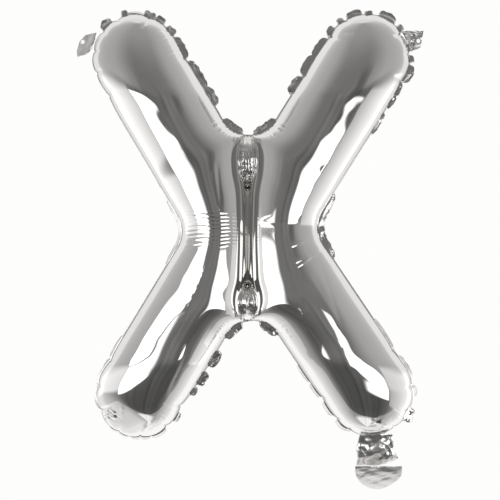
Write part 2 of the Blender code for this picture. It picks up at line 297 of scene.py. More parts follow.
class Seam:
    """The welded outline as a closed run of points, half a millimetre apart."""

    STEP = 0.5

    def __init__(self, plan: LetterPlan) -> None:
        """Walks the outline anticlockwise from the upper notch.

        Args:
            plan: The letter's outline.
        """
        self.plan = plan
        spots: list[Vector] = []
        walk = (
            (-1, +1, True, plan.waist(-1), False),
            (-1, -1, False, plan.notch(-1), False),
            (+1, -1, True, plan.waist(+1), True),
            (+1, +1, False, plan.notch(+1), True),
        )
        for side, up, inner_first, corner, backwards in walk:
            spots += self._round_arm(plan.arms[side, up], inner_first)
            spots += self._hollow(corner, backwards)
        self.points = np.array([(spot.x, spot.y) for spot in spots])
        ahead = np.roll(self.points, -1, axis=0) - np.roll(self.points, 1, axis=0)
        self.tangents = ahead / np.linalg.norm(ahead, axis=1)[:, None]
        self.normals = np.stack((self.tangents[:, 1], -self.tangents[:, 0]), axis=1)
        steps = np.linalg.norm(np.diff(self.points, axis=0, append=self.points[:1]), axis=1)
        self.run = np.concatenate(((0.0,), np.cumsum(steps)[:-1]))
        self.length = float(steps.sum())
        self.tree = kdtree.KDTree(len(self.points))
        for i, (x, z) in enumerate(self.points):
            self.tree.insert((x, z, 0.0), i)
        self.tree.balance()

    def _steps(self, length: float) -> int:
        """Number of steps along a stretch of a given length."""
        return max(2, round(length / self.STEP))

    def _hollow(self, corner: Corner, backwards: bool) -> list[Vector]:
        """A waist's or notch's arc.

        Args:
            corner: The arc's centre and ends.
            backwards: Whether the walk starts at its second end.

        Returns:
            The points in walking order, without the last.
        """
        first, second = (corner.second, corner.first) if backwards else (corner.first, corner.second)
        radius = (first - corner.centre).length
        sweep = abs((first - corner.centre).angle(second - corner.centre))
        return arc(corner.centre, first, second, self._steps(radius * sweep))[:-1]

    def _round_arm(self, arm: Arm, inner_first: bool) -> list[Vector]:
        """An arm's two straight seams and its round end.

        Args:
            arm: The arm.
            inner_first: Whether the walk comes from the notch and not from the waist.

        Returns:
            The points in walking order, without the last.
        """
        plan = self.plan
        inner_end, waist = plan.inner_end(arm), plan.waist(arm.side)
        outer_end = waist.first if arm.up > 0 else waist.second
        inner, outer = plan.seam_start(arm, -1), plan.seam_start(arm, +1)
        tip = arm.centre - arm.inwards * plan.arm_radius
        quarter = self._steps(plan.arm_radius * math.pi / 2)
        path = line(inner_end, inner, self._steps((inner - inner_end).length))
        path += arc(arm.centre, inner, tip, quarter)[1:]
        path += arc(arm.centre, tip, outer, quarter)[1:]
        path += line(outer, outer_end, self._steps((outer - outer_end).length))[1:]
        return path[:-1] if inner_first else path[::-1][:-1]

    def locate(self, spots: np.ndarray) -> tuple[np.ndarray, np.ndarray]:
        """Where places lie beside the seam.

        Args:
            spots: Rows of x and z.

        Returns:
            Each one's run along the seam and its distance from it.
        """
        nearest = np.array([self.tree.find((x, z, 0.0))[1] for x, z in spots])
        offset = spots - self.points[nearest]
        along = np.einsum("ij,ij->i", offset, self.tangents[nearest])
        return self.run[nearest] + np.clip(along, -self.STEP, self.STEP), np.linalg.norm(offset, axis=1)

    def run_at(self, x: float, z: float) -> float:
        """The run of the seam's point nearest to a place."""
        return float(self.run[self.tree.find((x, z, 0.0))[1]])

    def apart(self, runs: np.ndarray, run: float) -> np.ndarray:
        """Signed distances along the seam from one run, the short way round."""
        return (runs - run + self.length / 2) % self.length - self.length / 2


@dataclass(frozen=True)
class Pinch:
    """A place where the seam is gathered and draws the foil in, in a crease across the rim."""

    x: float
    z: float
    depth: float
    width: float
    reach: float

    def sink(self, seam: Seam, runs: np.ndarray, rise: np.ndarray) -> np.ndarray:
        """How far the foil is drawn in.

        Args:
            seam: The seam that the pinch is on.
            runs: Runs along the seam.
            rise: Angles round the arm from the seam, in degrees.

        Returns:
            A depth for each place.
        """
        apart = np.abs(seam.apart(runs, seam.run_at(self.x, self.z)))
        wide = 0.75 * np.exp(-apart / (3.0 * self.width))
        sharp = 0.25 * np.exp(-((apart / (0.5 * self.width)) ** 2))
        return 1.7 * self.depth * (wide + sharp) * smooth(1.0 - rise / self.reach)


@dataclass(frozen=True)
class Teeth:
    """A stretch of fine puckers side by side along the seam."""

    start: tuple[float, float]
    end: tuple[float, float]
    pitch: float
    depth: float
    reach: float
    seed: int = 1

    def stretch(self, seam: Seam) -> tuple[float, float]:
        """Where the stretch lies.

        Args:
            seam: The seam that the puckers are on.

        Returns:
            The run of the stretch's middle, and half its length.
        """
        first = seam.run_at(*self.start)
        span = float(seam.apart(np.array(seam.run_at(*self.end)), first))
        return first + span / 2, abs(span) / 2

    def sink(self, seam: Seam, runs: np.ndarray, rise: np.ndarray) -> np.ndarray:
        """How far the foil is drawn in between the puckers.

        Args:
            seam: The seam that the puckers are on.
            runs: Runs along the seam.
            rise: Angles round the arm from the seam, in degrees.

        Returns:
            A depth for each place.
        """
        middle, half = self.stretch(seam)
        along = seam.apart(runs, middle)
        rng = np.random.default_rng(self.seed)
        bend = 0.35 * np.sin(along / self.pitch * 1.3 + rng.uniform(0, 6))
        phase = along / self.pitch + bend
        strength = rng.uniform(0.35, 1.0, 400)[(np.floor(phase).astype(int)) % 400]
        reach = self.reach * (0.75 + 0.35 * strength)
        fold = strength * (1.0 - np.abs(np.sin(math.pi * phase))) ** 1.3
        return self.depth * fold * window(along, half + 2.0, 5.0) * smooth((reach - rise) / (0.4 * reach))


@dataclass(frozen=True)
class Crease:
    """A ridge, or a groove where its height is below 0, along a straight line of the plan."""

    start: tuple[float, float]
    end: tuple[float, float]
    height: float
    width: float

    def lift(self, spots: np.ndarray) -> np.ndarray:
        """How far the foil stands out.

        Args:
            spots: Rows of x and z.

        Returns:
            A height for each place.
        """
        start, end = np.array(self.start), np.array(self.end)
        length = float(np.linalg.norm(end - start))
        towards = (end - start) / length
        offset = spots - start
        along = offset @ towards
        across = offset @ np.array((-towards[1], towards[0]))
        ends = smooth((along + 1.0) / (0.3 * length)) * smooth((length + 1.0 - along) / (0.3 * length))
        return self.height * ends * np.exp(-np.abs(across / self.width) ** 1.6)


@dataclass(frozen=True)
class Gather:
    """Short parallel ridges across a lobe, where the bend at a waist squeezes its foil."""

    centre: tuple[float, float]
    half_x: float
    half_z: float
    pitch: float
    height: float

    def lift(self, spots: np.ndarray) -> np.ndarray:
        """How far the foil stands out.

        Args:
            spots: Rows of x and z.

        Returns:
            A height for each place.
        """
        x, z = spots[:, 0] - self.centre[0], spots[:, 1] - self.centre[1]
        fan = z * (1.0 + 0.006 * x) + 0.35 * np.sin(x / 4.0)
        ridge = (1.0 - np.abs(np.sin(math.pi * fan / self.pitch))) ** 1.2
        index = np.floor(fan / self.pitch + 0.5).astype(int)
        strength = 0.65 + 0.35 * np.sin(index * 2.3 + x / 9.0)
        fade = window(x, self.half_x, 12.0)
        return self.height * (0.4 - ridge) * strength * fade * window(z, self.half_z, 4.0)


@dataclass(frozen=True)
class Patch:
    """A small field of crushed foil."""

    centre: tuple[float, float]
    half_x: float
    half_z: float
    wave: float
    height: float
    seed: int

    def lift(self, spots: np.ndarray) -> np.ndarray:
        """How far the foil stands out.

        Args:
            spots: Rows of x and z.

        Returns:
            A height for each place.
        """
        x, z = spots[:, 0] - self.centre[0], spots[:, 1] - self.centre[1]
        hold = smooth(1.35 - 1.35 * np.sqrt((x / self.half_x) ** 2 + (z / self.half_z) ** 2))
        return self.height * hold * crumple(spots, self.wave, self.seed)


PINCHES = (
    # Upper left arm's end
    Pinch(-128.6, +125.8, 1.7, 2.2, 46),
    Pinch(-129.5, +146.3, 1.5, 2.0, 44),
    Pinch(-122.1, +165.2, 1.7, 2.2, 46),
    Pinch(-108.9, +175.1, 1.5, 2.0, 42),
    Pinch(-80.1, +175.1, 1.3, 2.0, 46),
    Pinch(-65.3, +162.8, 1.0, 1.6, 40),
    Pinch(-52.2, +138.9, 1.1, 1.8, 40),
    Pinch(-124.5, +102.8, 1.3, 2.4, 36),
    # Upper right arm's end
    Pinch(+64.5, +160.3, 1.6, 2.0, 58),
    Pinch(+78.5, +174.3, 1.2, 1.8, 38),
    Pinch(+98.2, +177.6, 0.9, 1.2, 40),
    Pinch(+127.8, +161.1, 1.7, 2.0, 52),
    Pinch(+134.4, +143.0, 1.1, 1.8, 40),
    Pinch(+131.1, +117.5, 1.4, 2.2, 48),
    Pinch(+41.5, +129.1, 0.7, 1.6, 36),
    # Lower left arm's end
    Pinch(-119.6, -102.8, 1.2, 2.4, 36),
    Pinch(-129.5, -127.4, 1.6, 2.2, 44),
    Pinch(-123.7, -150.4, 2.2, 2.4, 60),
    Pinch(-106.4, -166.9, 1.2, 2.0, 44),
    Pinch(-88.4, -171.0, 1.5, 1.8, 50),
    Pinch(-63.7, -165.2, 1.3, 2.0, 44),
    Pinch(-52.2, -146.3, 1.6, 2.2, 46),
    # Lower right arm's end
    Pinch(+138.5, -128.2, 1.5, 2.0, 50),
    Pinch(+136.0, -152.1, 1.5, 2.2, 48),
    Pinch(+121.2, -97.8, 0.9, 2.2, 34),
    Pinch(+56.3, -142.2, 1.0, 2.2, 36),
    Pinch(+68.6, -159.5, 1.2, 2.2, 40),
    Pinch(+79.3, -171.8, 1.2, 2.0, 40),
    Pinch(+123.7, -166.9, 1.3, 2.0, 44),
)

TEETH = (
    Teeth((-69.5, +166.0), (-52.0, +140.0), 2.9, 0.55, 52, 3),
    Teeth((-24.0, +92.0), (+26.0, +92.0), 2.9, 0.60, 50, 4),
    Teeth((-22.0, -90.0), (+30.0, -90.0), 2.6, 0.50, 46, 5),
    Teeth((-52.0, -150.0), (-68.0, -170.0), 2.8, 0.50, 58, 6),
    Teeth((+131.0, -158.0), (+112.0, -170.0), 2.8, 0.55, 50, 7),
    Teeth((+131.0, +95.0), (+122.0, +80.0), 3.2, 0.25, 40, 8),
)

CREASES = (
    # The fold and the three short ridges at the right waist
    Crease((+8.6, +5.8), (+61.2, +2.5), -0.10, 2.0),
    Crease((+34.1, -14.8), (+48.9, -9.0), +0.35, 1.1),
    Crease((+37.4, -27.9), (+52.2, -21.4), +0.35, 1.1),
    Crease((+39.0, -32.1), (+60.4, -16.4), +0.40, 1.2),
    # Long creases down the arms
    Crease((-26.7, -16.4), (-58.8, -90.4), +0.22, 1.2),
    Crease((+33.3, -30.4), (+50.6, -87.1), +0.22, 1.2),
    Crease((+46.4, -32.9), (+74.4, -78.1), +0.20, 1.6),
    Crease((-25.1, +58.4), (-21.0, +14.0), -0.30, 1.6),
    Crease((+55.5, -17.3), (+80.1, -89.6), -0.16, 1.6),
    Crease((-42.3, -83.0), (-62.1, -117.5), +0.20, 1.4),
    Crease((-78.5, +110.1), (-42.3, +48.5), +0.14, 1.4),
    Crease((+67.8, -83.0), (+85.9, -117.5), +0.18, 1.2),
    Crease((-50.6, -101.1), (-69.5, -138.9), +0.25, 1.3),
    Crease((-45.6, -95.4), (-63.7, -132.3), -0.20, 1.3),
    # Short creases on the ends
    Crease((-88.4, -170.2), (-81.8, -160.3), +0.70, 1.3),
    Crease((-81.8, -160.3), (-78.5, -159.5), +0.40, 1.0),
    Crease((-123.7, -149.6), (-118.0, -150.4), -0.80, 1.4),
    Crease((-101.5, -144.7), (-103.2, -152.9), +0.50, 0.9),
    Crease((+77.7, +160.3), (+85.9, +158.6), -0.30, 1.6),
    Crease((+118.8, +157.8), (+128.6, +161.1), -0.50, 1.4),
    Crease((+119.6, +123.3), (+127.0, +124.1), -0.30, 1.2),
    Crease((-81.8, +170.2), (-85.9, +163.6), -0.30, 1.4),
    Crease((+132.8, -130.7), (+140.2, -128.2), -0.50, 1.2),
    Crease((+104.8, -157.0), (+113.8, -161.1), +0.60, 1.2),
)

GATHERS = (Gather((-32.0, -0.4), 26.0, 15.5, 3.2, 0.42),)

PATCHES = (
    Patch((-111.0, -152.0), 11.0, 6.0, 1.8, 0.45, 11),
    Patch((+104.8, -156.5), 7.0, 4.0, 2.4, 0.25, 12),
)


@dataclass
class FoilSkin:
    """The inflated foil: one panel in front of the seam and one behind it."""

    plan: LetterPlan
    seam: Seam
    lobe_depth: float = 36.2
    waist_depth: float = 31.5
    end_run: float = 72.0
    valley_depth: float = 9.0
    valley_step: float = 2.0
    evening_loss: float = 0.055
    rim: float = 0.25
    wall: float = 0.3
    cells: int = 52
    crowding: float = 0.055
    cap_rows: int = 30
    row_step: float = 1.7
    notch_rows: int = 15
    evened_below: float = 116.0
    smoothed_below: float = 112.0
    evening_fade: float = 20.0
    rim_width: float = 1.5
    dulled_width: float = 9.0
    evening_turns: int = 104
    valley_turns: int = 3
    detail_gap: float = 13.0
    pinch_detail: float = 2.6
    crease_detail: float = 0.22

    def _swell(self, arm: Arm, from_tip: float, past_notch: float = 0.0) -> float:
        """Depth of a lobe at a distance from its arm's tip.

        Args:
            arm: The arm.
            from_tip: Distance from the tip along the arm.
            past_notch: Share of the way from the notch to the waist.

        Returns:
            A depth that eases in over twice the end's radius, with what the evening-out will take off added.
        """
        plan = self.plan
        depth = self.lobe_depth + (self.waist_depth - self.lobe_depth) * past_notch
        height = abs(arm.centre.y) + (plan.arm_radius - from_tip) * math.cos(math.radians(arm.lean))
        evened = smooth(np.array((self.evened_below - height) / self.evening_fade)) * (1 - past_notch)
        depth *= 1.0 + self.evening_loss * float(evened)
        if from_tip < arm.flat_run:
            flat = self._ease(arm.flat_run) * depth - arm.flat_slope * (arm.flat_run - from_tip)
            return min(self._ease(from_tip) * depth, max(flat, 0.0) + 0.25 * math.sqrt(from_tip))
        return depth * self._ease(from_tip)

    def _ease(self, from_tip: float) -> float:
        """Share of its whole depth that a lobe has at a distance from its tip."""
        left = 1.0 - min(from_tip / self.end_run, 1.0)
        return math.sqrt(1.0 - left * left)

    def _valley_floor(self, z: float) -> float:
        """How far the open valley's floor stands in front of the seam.

        Args:
            z: A height on the centre line.

        Returns:
            The floor's distance from the seam's plane.
        """
        top, bottom = self.plan.welds[+1].valley_end, self.plan.welds[-1].valley_end
        share = min(max((z - bottom) / (top - bottom), 0.0), 1.0)
        bow = math.sqrt(math.sin(math.pi * share))
        return self.valley_step + (self.valley_depth - self.valley_step) * bow

    def _arm_rows(self, arm: Arm) -> list[tuple[Vector, Vector, float, float]]:
        """Sections across an arm, from its tip to where its notch begins.

        Args:
            arm: The arm.

        Returns:
            For each section its outer and inner end, its depth, and its inner end's height.
        """
        plan, radius = self.plan, self.plan.arm_radius
        rows = []
        for step in range(self.cap_rows):
            angle = math.pi / 2 * (1 - step / self.cap_rows)
            middle = arm.centre - arm.inwards * radius * math.sin(angle)
            across = arm.outward * radius * math.cos(angle)
            depth = self._swell(arm, radius * (1 - math.sin(angle)))
            rows.append((middle + across, middle - across, depth, 0.0))
        length = (plan.inner_end(arm) - plan.seam_start(arm, -1)).length
        count = round(length / self.row_step)
        for step in range(count + 1):
            middle = arm.centre + arm.inwards * length * step / count
            across = arm.outward * radius
            depth = self._swell(arm, radius + length * step / count)
            rows.append((middle + across, middle - across, depth, 0.0))
        return rows

    def _centre_rows(self, arm: Arm) -> list[tuple[Vector, Vector, float, float]]:
        """Sections from an arm's notch to the waist: down the weld's edge and the open valley.

        Args:
            arm: The arm.

        Returns:
            The same four values for each section as for the arm's own rows.
        """
        plan, weld = self.plan, self.plan.welds[arm.up]
        notch, tangent = plan.notch(arm.up), plan.inner_end(arm)
        length = (tangent - plan.seam_start(arm, -1)).length
        lowest = notch.centre.y - plan.notch_fillet * arm.up
        mouth = Vector((plan.weld_mouth * arm.side, lowest))
        inner = [(spot, 0.0) for spot in arc(notch.centre, tangent, mouth, self.notch_rows)[1:]]
        weld_rows = round(abs(lowest - weld.valley_end) / self.row_step)
        for step in range(1, weld_rows + 1):
            z = lowest + (weld.valley_end + 1.5 * weld.up - lowest) * step / weld_rows
            aside = max(plan.weld_half(weld, z), 0.6) * arm.side
            inner.append((Vector((aside, z)), 0.0))
        valley_rows = round(abs(weld.valley_end) / self.row_step)
        for step in range(valley_rows + 1):
            z = weld.valley_end * (1 - step / valley_rows)
            inner.append((Vector((0, z)), self._valley_floor(z)))
        waist = plan.waist(arm.side)
        near, far = (waist.first, waist.second) if arm.up > 0 else (waist.second, waist.first)
        half_waist = arc(waist.centre, near, far, 40)[:21]
        start = plan.seam_start(arm, +1) + arm.inwards * length
        outer = np.array([tuple(spot) for spot in [start, *half_waist]])
        outer_run = run_lengths(outer)
        path = np.array([tuple(tangent)] + [tuple(spot) for spot, _ in inner])
        inner_run = run_lengths(path)
        share = inner_run[1:] / inner_run[-1]
        pace = inner_run[-1] / outer_run[-1]
        eased = (share**3 - 2 * share**2 + share) * pace + (3 * share**2 - 2 * share**3)
        eased += (share**3 - share**2) * pace
        reach = np.clip(eased, 0.0, 1.0) * outer_run[-1]
        ends_x, ends_z = (np.interp(reach, outer_run, outer[:, k]) for k in range(2))
        passed = plan.arm_radius + length
        rows = []
        for (spot, floor), x, z, done in zip(inner, ends_x, ends_z, share):
            rows.append((Vector((x, z)), spot, self._swell(arm, passed, float(done)), floor))
        return rows

    def _section(self, row: tuple[Vector, Vector, float, float]) -> np.ndarray:
        """Points over a lobe from its outer seam to its inner end, in front of the seam.

        Args:
            row: The section's outer and inner end, its depth, and its inner end's height.

        Returns:
            Rows of x, y and z.
        """
        outer, inner, depth, floor = row
        turn = math.pi - (math.asin(min(floor / depth, 1.0)) if floor else 0.0)
        share = np.linspace(0.0, 1.0, self.cells + 1)
        angle = turn * (share - self.crowding * np.sin(2 * math.pi * share))
        across = (1 - np.cos(angle)) / (1 - math.cos(turn))
        x = outer.x + (inner.x - outer.x) * across
        z = outer.y + (inner.y - outer.y) * across
        return np.stack((x, -self.rim - depth * np.sin(angle), z), axis=1)

    def _smooth_skin(self, mesh: bmesh.types.BMesh) -> None:
        """Evens out the kinks between sections, and rounds the valley's floor.

        Args:
            mesh: The front panel before its creases.
        """
        mesh.verts.index_update()
        spots = np.array([vert.co for vert in mesh.verts])
        pairs = np.array([[vert.index for vert in edge.verts] for edge in mesh.edges])
        held = np.zeros(len(spots), bool)
        for edge in mesh.edges:
            if edge.is_boundary:
                held[[vert.index for vert in edge.verts]] = True
        _, gap = self.seam.locate(spots[:, (0, 2)])
        height, aside = np.abs(spots[:, 2]), np.abs(spots[:, 0])
        weight = 0.10 + 0.90 * smooth((self.smoothed_below - height) / self.evening_fade)
        weight *= 0.15 + 0.85 * smooth(gap / 10.0)
        weight *= 0.25 + 0.75 * smooth((aside - 3.0) / 13.0)
        weight[held] = 0.0
        top, bottom = self.plan.welds[+1].valley_end, self.plan.welds[-1].valley_end
        in_valley = smooth((16.0 - aside) / 6.0) * smooth((top - 3 - spots[:, 2]) / 8)
        in_valley *= smooth((spots[:, 2] - bottom - 3) / 8)
        in_valley[held] = 0.0
        count = len(spots)
        both = np.concatenate((pairs[:, 0], pairs[:, 1]))
        other = np.concatenate((pairs[:, 1], pairs[:, 0]))
        neighbours = np.bincount(both, minlength=count)[:, None]
        for share in [weight] * self.evening_turns + [in_valley] * self.valley_turns:
            total = np.stack([np.bincount(both, spots[other, k], count) for k in range(3)], axis=1)
            spots += 0.5 * share[:, None] * (total / neighbours - spots)
        for vert, spot in zip(mesh.verts, spots):
            vert.co = spot

    def _wants_detail(self, spots: np.ndarray) -> np.ndarray:
        """Which places lie on a crease, gather, pucker or crushed patch that needs finer faces.

        Args:
            spots: Rows of x and z.

        Returns:
            True for each place that does.
        """
        runs, gap = self.seam.locate(spots)
        fine = np.zeros(len(spots), bool)
        for teeth in TEETH:
            middle, half = teeth.stretch(self.seam)
            near = np.abs(self.seam.apart(runs, middle)) < half + 3.0
            fine |= near & (gap < self.detail_gap)
        for pinch in PINCHES:
            apart = np.abs(self.seam.apart(runs, self.seam.run_at(pinch.x, pinch.z)))
            fine |= (apart < self.pinch_detail) & (gap < self.detail_gap)
        for crease in CREASES:
            fine |= np.abs(crease.lift(spots)) > self.crease_detail * abs(crease.height)
        for form in (*GATHERS, *PATCHES):
            x, z = np.abs(spots - np.array(form.centre)).T
            fine |= (x < form.half_x) & (z < form.half_z)
        return fine

    def _base(self) -> bmesh.types.BMesh:
        """The front panel before its creases.

        Returns:
            Smooth lobes, with finer faces where creases will run.
        """
        mesh = bmesh.new()
        for side in (-1, +1):
            upper, lower = (
                self._arm_rows(arm) + self._centre_rows(arm)
                for arm in (self.plan.arms[side, +1], self.plan.arms[side, -1])
            )
            rows = [[mesh.verts.new(spot) for spot in self._section(row)] for row in upper + lower[-2::-1]]
            for above, below in zip(rows, rows[1:]):
                for j in range(self.cells):
                    corners = [above[j], below[j], below[j + 1], above[j + 1]]
                    mesh.faces.new(corners if side < 0 else corners[::-1])
        bmesh.ops.remove_doubles(mesh, verts=mesh.verts, dist=1e-3)
        self._smooth_skin(mesh)
        faces = list(mesh.faces)
        centres = np.array([face.calc_center_median() for face in faces])
        chosen = {
            edge
            for face, fine in zip(faces, self._wants_detail(centres[:, (0, 2)]))
            if fine
            for edge in face.edges
        }
        bmesh.ops.subdivide_edges(mesh, edges=list(chosen), cuts=1, use_grid_fill=True)
        loose = [face for face in mesh.faces if len(face.verts) > 4]
        bmesh.ops.triangulate(mesh, faces=loose)
        return mesh

    def relief(self, spots: np.ndarray, panel: Panel) -> np.ndarray:
        """How far the foil stands out from the smooth lobes.

        Args:
            spots: Rows of x and z.
            panel: The panel in question, because only the seam's pinches are alike on both.

        Returns:
            Heights along the surface's normal.
        """
        runs, gap = self.seam.locate(spots)
        radius = self.plan.arm_radius
        rise = np.degrees(np.arccos(1.0 - np.minimum(gap, radius) / radius))
        lift = np.zeros(len(spots))
        for gathered in (*PINCHES, *TEETH):
            lift -= gathered.sink(self.seam, runs, rise)
        inside = smooth(gap / 6.0)
        own = spots if panel is Panel.FRONT else spots * np.array((1.0, 0.97)) + np.array((3.0, -2.0))
        for form in (*CREASES, *GATHERS):
            lift += form.lift(own) * inside
        for patch in PATCHES:
            lift += patch.lift(own)
        seed = 21 if panel is Panel.FRONT else 22
        lift += 0.05 * inside * ripple(spots, 60.0, seed) + 0.006 * inside * ripple(spots, 14.0, seed + 5)
        return lift

    def build(self, name: str, panel: Panel) -> bpy.types.Object:
        """Makes one panel.

        Args:
            name: The piece's name.
            panel: Front or back.

        Returns:
            The panel as an object with a thin wall.
        """
        seam, mesh = self.seam, self._base()
        data = bpy.data.meshes.new(name)
        mesh.to_mesh(data)
        mesh.free()
        count = len(data.vertices)
        spots, normals = np.empty(count * 3), np.empty(count * 3)
        data.vertices.foreach_get("co", spots)
        data.vertex_normals.foreach_get("vector", normals)
        spots, normals = spots.reshape(-1, 3), normals.reshape(-1, 3)
        plane = spots[:, (0, 2)]
        runs, gap = seam.locate(plane)
        nearest = np.searchsorted(seam.run, runs % seam.length).clip(0, len(seam.run) - 1)
        rim = smooth(1.0 - gap / self.rim_width)[:, None] * (np.abs(spots[:, 1:2]) < 6.0)
        flat = np.insert(seam.normals[nearest], 1, 0.0, axis=1)
        normals = normals * (1 - rim) + flat * rim
        normals /= np.maximum(np.linalg.norm(normals, axis=1), 1e-9)[:, None]
        lift = self.relief(plane, panel)
        edge_of_weld = (np.abs(spots[:, 1]) < self.rim + 1e-3) & (gap > 1.0)
        lift[edge_of_weld] = 0.0
        spots = spots + normals * lift[:, None]
        spots[:, 1] = np.minimum(spots[:, 1], -self.rim)
        if panel is Panel.BACK:
            spots[:, 1] *= -1
            data.flip_normals()
        data.vertices.foreach_set("co", self.plan.place(spots).ravel())
        Workshop.mark(data, smooth(1.0 - gap / self.dulled_width))
        return Workshop.sheet(name, data, self.wall, -1)


class Workshop:
    """Small jobs that several pieces share."""

    @staticmethod
    def link(name: str, data: bpy.types.Mesh) -> bpy.types.Object:
        """Puts a mesh into the scene.

        Args:
            name: The object's name.
            data: The mesh.

        Returns:
            A smooth-shaded object at the origin.
        """
        data.update()
        data.shade_smooth()
        obj = bpy.data.objects.new(name, data)
        bpy.context.scene.collection.objects.link(obj)
        return obj

    @staticmethod
    def mark(data: bpy.types.Mesh, shares: np.ndarray) -> None:
        """Stores how near the seam each point counts as being, which the finishes read."""
        data.attributes.new("seam_share", "FLOAT", "POINT").data.foreach_set("value", shares)

    @classmethod
    def sheet(cls, name: str, data: bpy.types.Mesh, wall: float, offset: float) -> bpy.types.Object:
        """Turns an open sheet into an object with a thin closed wall.

        Args:
            name: The object's name.
            data: The sheet, whose faces point outwards.
            wall: Thickness in millimetres.
            offset: Where the wall goes: -1 for inwards, 0 for half to each side.

        Returns:
            The finished object.
        """
        obj = cls.link(name, data)
        solid = obj.modifiers.new("wall", "SOLIDIFY")
        solid.thickness = wall * MM
        solid.offset = offset
        bpy.ops.object.select_all(action="DESELECT")
        obj.select_set(True)
        bpy.context.view_layer.objects.active = obj
        bpy.ops.object.modifier_apply(modifier=solid.name)
        return obj

    @staticmethod
    def close(data: bpy.types.Mesh) -> None:
        """Joins a tube's seam, fills its two ends and turns its faces outwards.

        Args:
            data: The tube, which is changed in place.
        """
        mesh = bmesh.new()
        mesh.from_mesh(data)
        bmesh.ops.remove_doubles(mesh, verts=mesh.verts, dist=1e-7)
        bmesh.ops.holes_fill(mesh, edges=[edge for edge in mesh.edges if edge.is_boundary])
        bmesh.ops.recalc_face_normals(mesh, faces=mesh.faces)
        mesh.to_mesh(data)
        mesh.free()

    @classmethod
    def grid(cls, name: str, spots: np.ndarray, closed: bool = False) -> bpy.types.Mesh:
        """A mesh of quads through a grid of points.

        Args:
            name: The mesh's name.
            spots: Points as rows, columns, and x, y and z.
            closed: Whether the last row joins the first.

        Returns:
            The mesh, with a uniform point order of row by row.
        """
        rows, columns = spots.shape[:2]
        faces = []
        for i in range(rows if closed else rows - 1):
            after = (i + 1) % rows
            for j in range(columns - 1):
                near, far = i * columns + j, after * columns + j
                faces.append((near, near + 1, far + 1, far))
        data = bpy.data.meshes.new(name)
        data.from_pydata(spots.reshape(-1, 3).tolist(), [], faces)
        return data


@dataclass(frozen=True)
class Scallop:
    """A stretch where the flange stands out, between the places where it is gathered away."""

    x: float
    z: float
    length: float
    height: float
    lean: float
    crush: float = 0.16


SCALLOPS = (
    # Upper left arm's end and inner side
    Scallop(-118.0, +170.2, 12.3, 5.7, 8, 0.55),
    Scallop(-101.8, +180.0, 6.6, 4.9, 6, 0.55),
    Scallop(-91.7, +180.8, 13.2, 4.1, 50, 0.55),
    Scallop(-79.3, +178.4, 10.7, 5.7, 15, 0.55),
    Scallop(-71.1, +172.6, 9.0, 4.9, 8, 0.55),
    Scallop(-62.1, +163.6, 9.9, 4.9, 8, 0.55),
    Scallop(-54.7, +148.8, 21.4, 4.5, 5, 0.45),
    Scallop(-40.7, +127.4, 27.9, 4.9, 8, 0.45),
    Scallop(-30.0, +109.3, 18.1, 5.7, 5, 0.45),
    # Upper notch
    Scallop(-12.0, +84.0, 22.0, 5.6, 4, 0.45),
    Scallop(+14.0, +84.0, 24.0, 5.6, 4, 0.45),
    # Upper right arm's inner side and end
    Scallop(+36.6, +120.0, 18.1, 5.7, 5, 0.45),
    Scallop(+46.4, +136.5, 19.7, 5.7, 5),
    Scallop(+58.0, +150.4, 19.7, 4.9, 5),
    Scallop(+64.5, +165.2, 9.9, 4.9, 8, 0.55),
    Scallop(+73.6, +175.1, 7.4, 4.5, 8, 0.55),
    Scallop(+86.4, +180.4, 14.0, 4.9, 10, 0.55),
    Scallop(+99.9, +180.8, 7.4, 3.7, 10, 0.55),
    Scallop(+116.3, +176.7, 15.6, 6.1, 15, 0.55),
    Scallop(+127.0, +166.0, 7.4, 4.9, 8, 0.55),
    Scallop(+136.0, +149.6, 7.4, 4.9, 10, 0.55),
    Scallop(+137.3, +139.7, 7.4, 4.5, 8, 0.55),
    Scallop(+136.0, +125.8, 16.4, 5.7, 12, 0.55),
    Scallop(+125.4, +107.7, 27.9, 3.3, 10, 0.45),
    Scallop(+109.7, +84.7, 21.4, 2.9, 15, 0.45),
    # Waists
    Scallop(+66.0, +2.0, 62.0, 5.4, 6),
    Scallop(-62.0, -2.0, 62.0, 4.6, 52),
    # Lower left arm
    Scallop(-28.4, -106.0, 16.4, 6.1, 4, 0.45),
    Scallop(-36.6, -123.3, 14.0, 5.7, 6, 0.45),
    Scallop(-43.2, -134.0, 9.0, 4.1, 6),
    Scallop(-54.7, -157.0, 9.9, 4.9, 40),
    Scallop(-70.3, -171.8, 14.8, 4.9, 50),
    Scallop(-87.5, -175.9, 16.4, 4.9, 55),
    Scallop(-106.4, -167.7, 18.1, 3.3, 55),
    Scallop(-124.5, -143.8, 19.7, 2.9, 55),
    Scallop(-131.1, -120.0, 24.7, 2.9, 55),
    Scallop(-120.4, -95.4, 32.9, 3.3, 50),
    # Lower notch
    Scallop(-11.0, -84.0, 20.0, 5.6, 4),
    Scallop(+16.0, -84.0, 20.0, 5.6, 4),
    # Lower right arm
    Scallop(+43.2, -120.8, 18.1, 4.5, 55),
    Scallop(+52.2, -135.6, 14.8, 4.9, 52),
    Scallop(+62.1, -151.2, 14.8, 5.3, 52),
    Scallop(+73.6, -167.7, 16.4, 5.3, 50),
    Scallop(+140.2, -157.8, 13.2, 6.6, 12, 0.55),
    Scallop(+141.8, -132.3, 11.5, 4.9, 42),
    Scallop(+131.9, -111.0, 21.4, 3.7, 48),
    Scallop(+113.0, -86.3, 32.9, 3.3, 50),
)


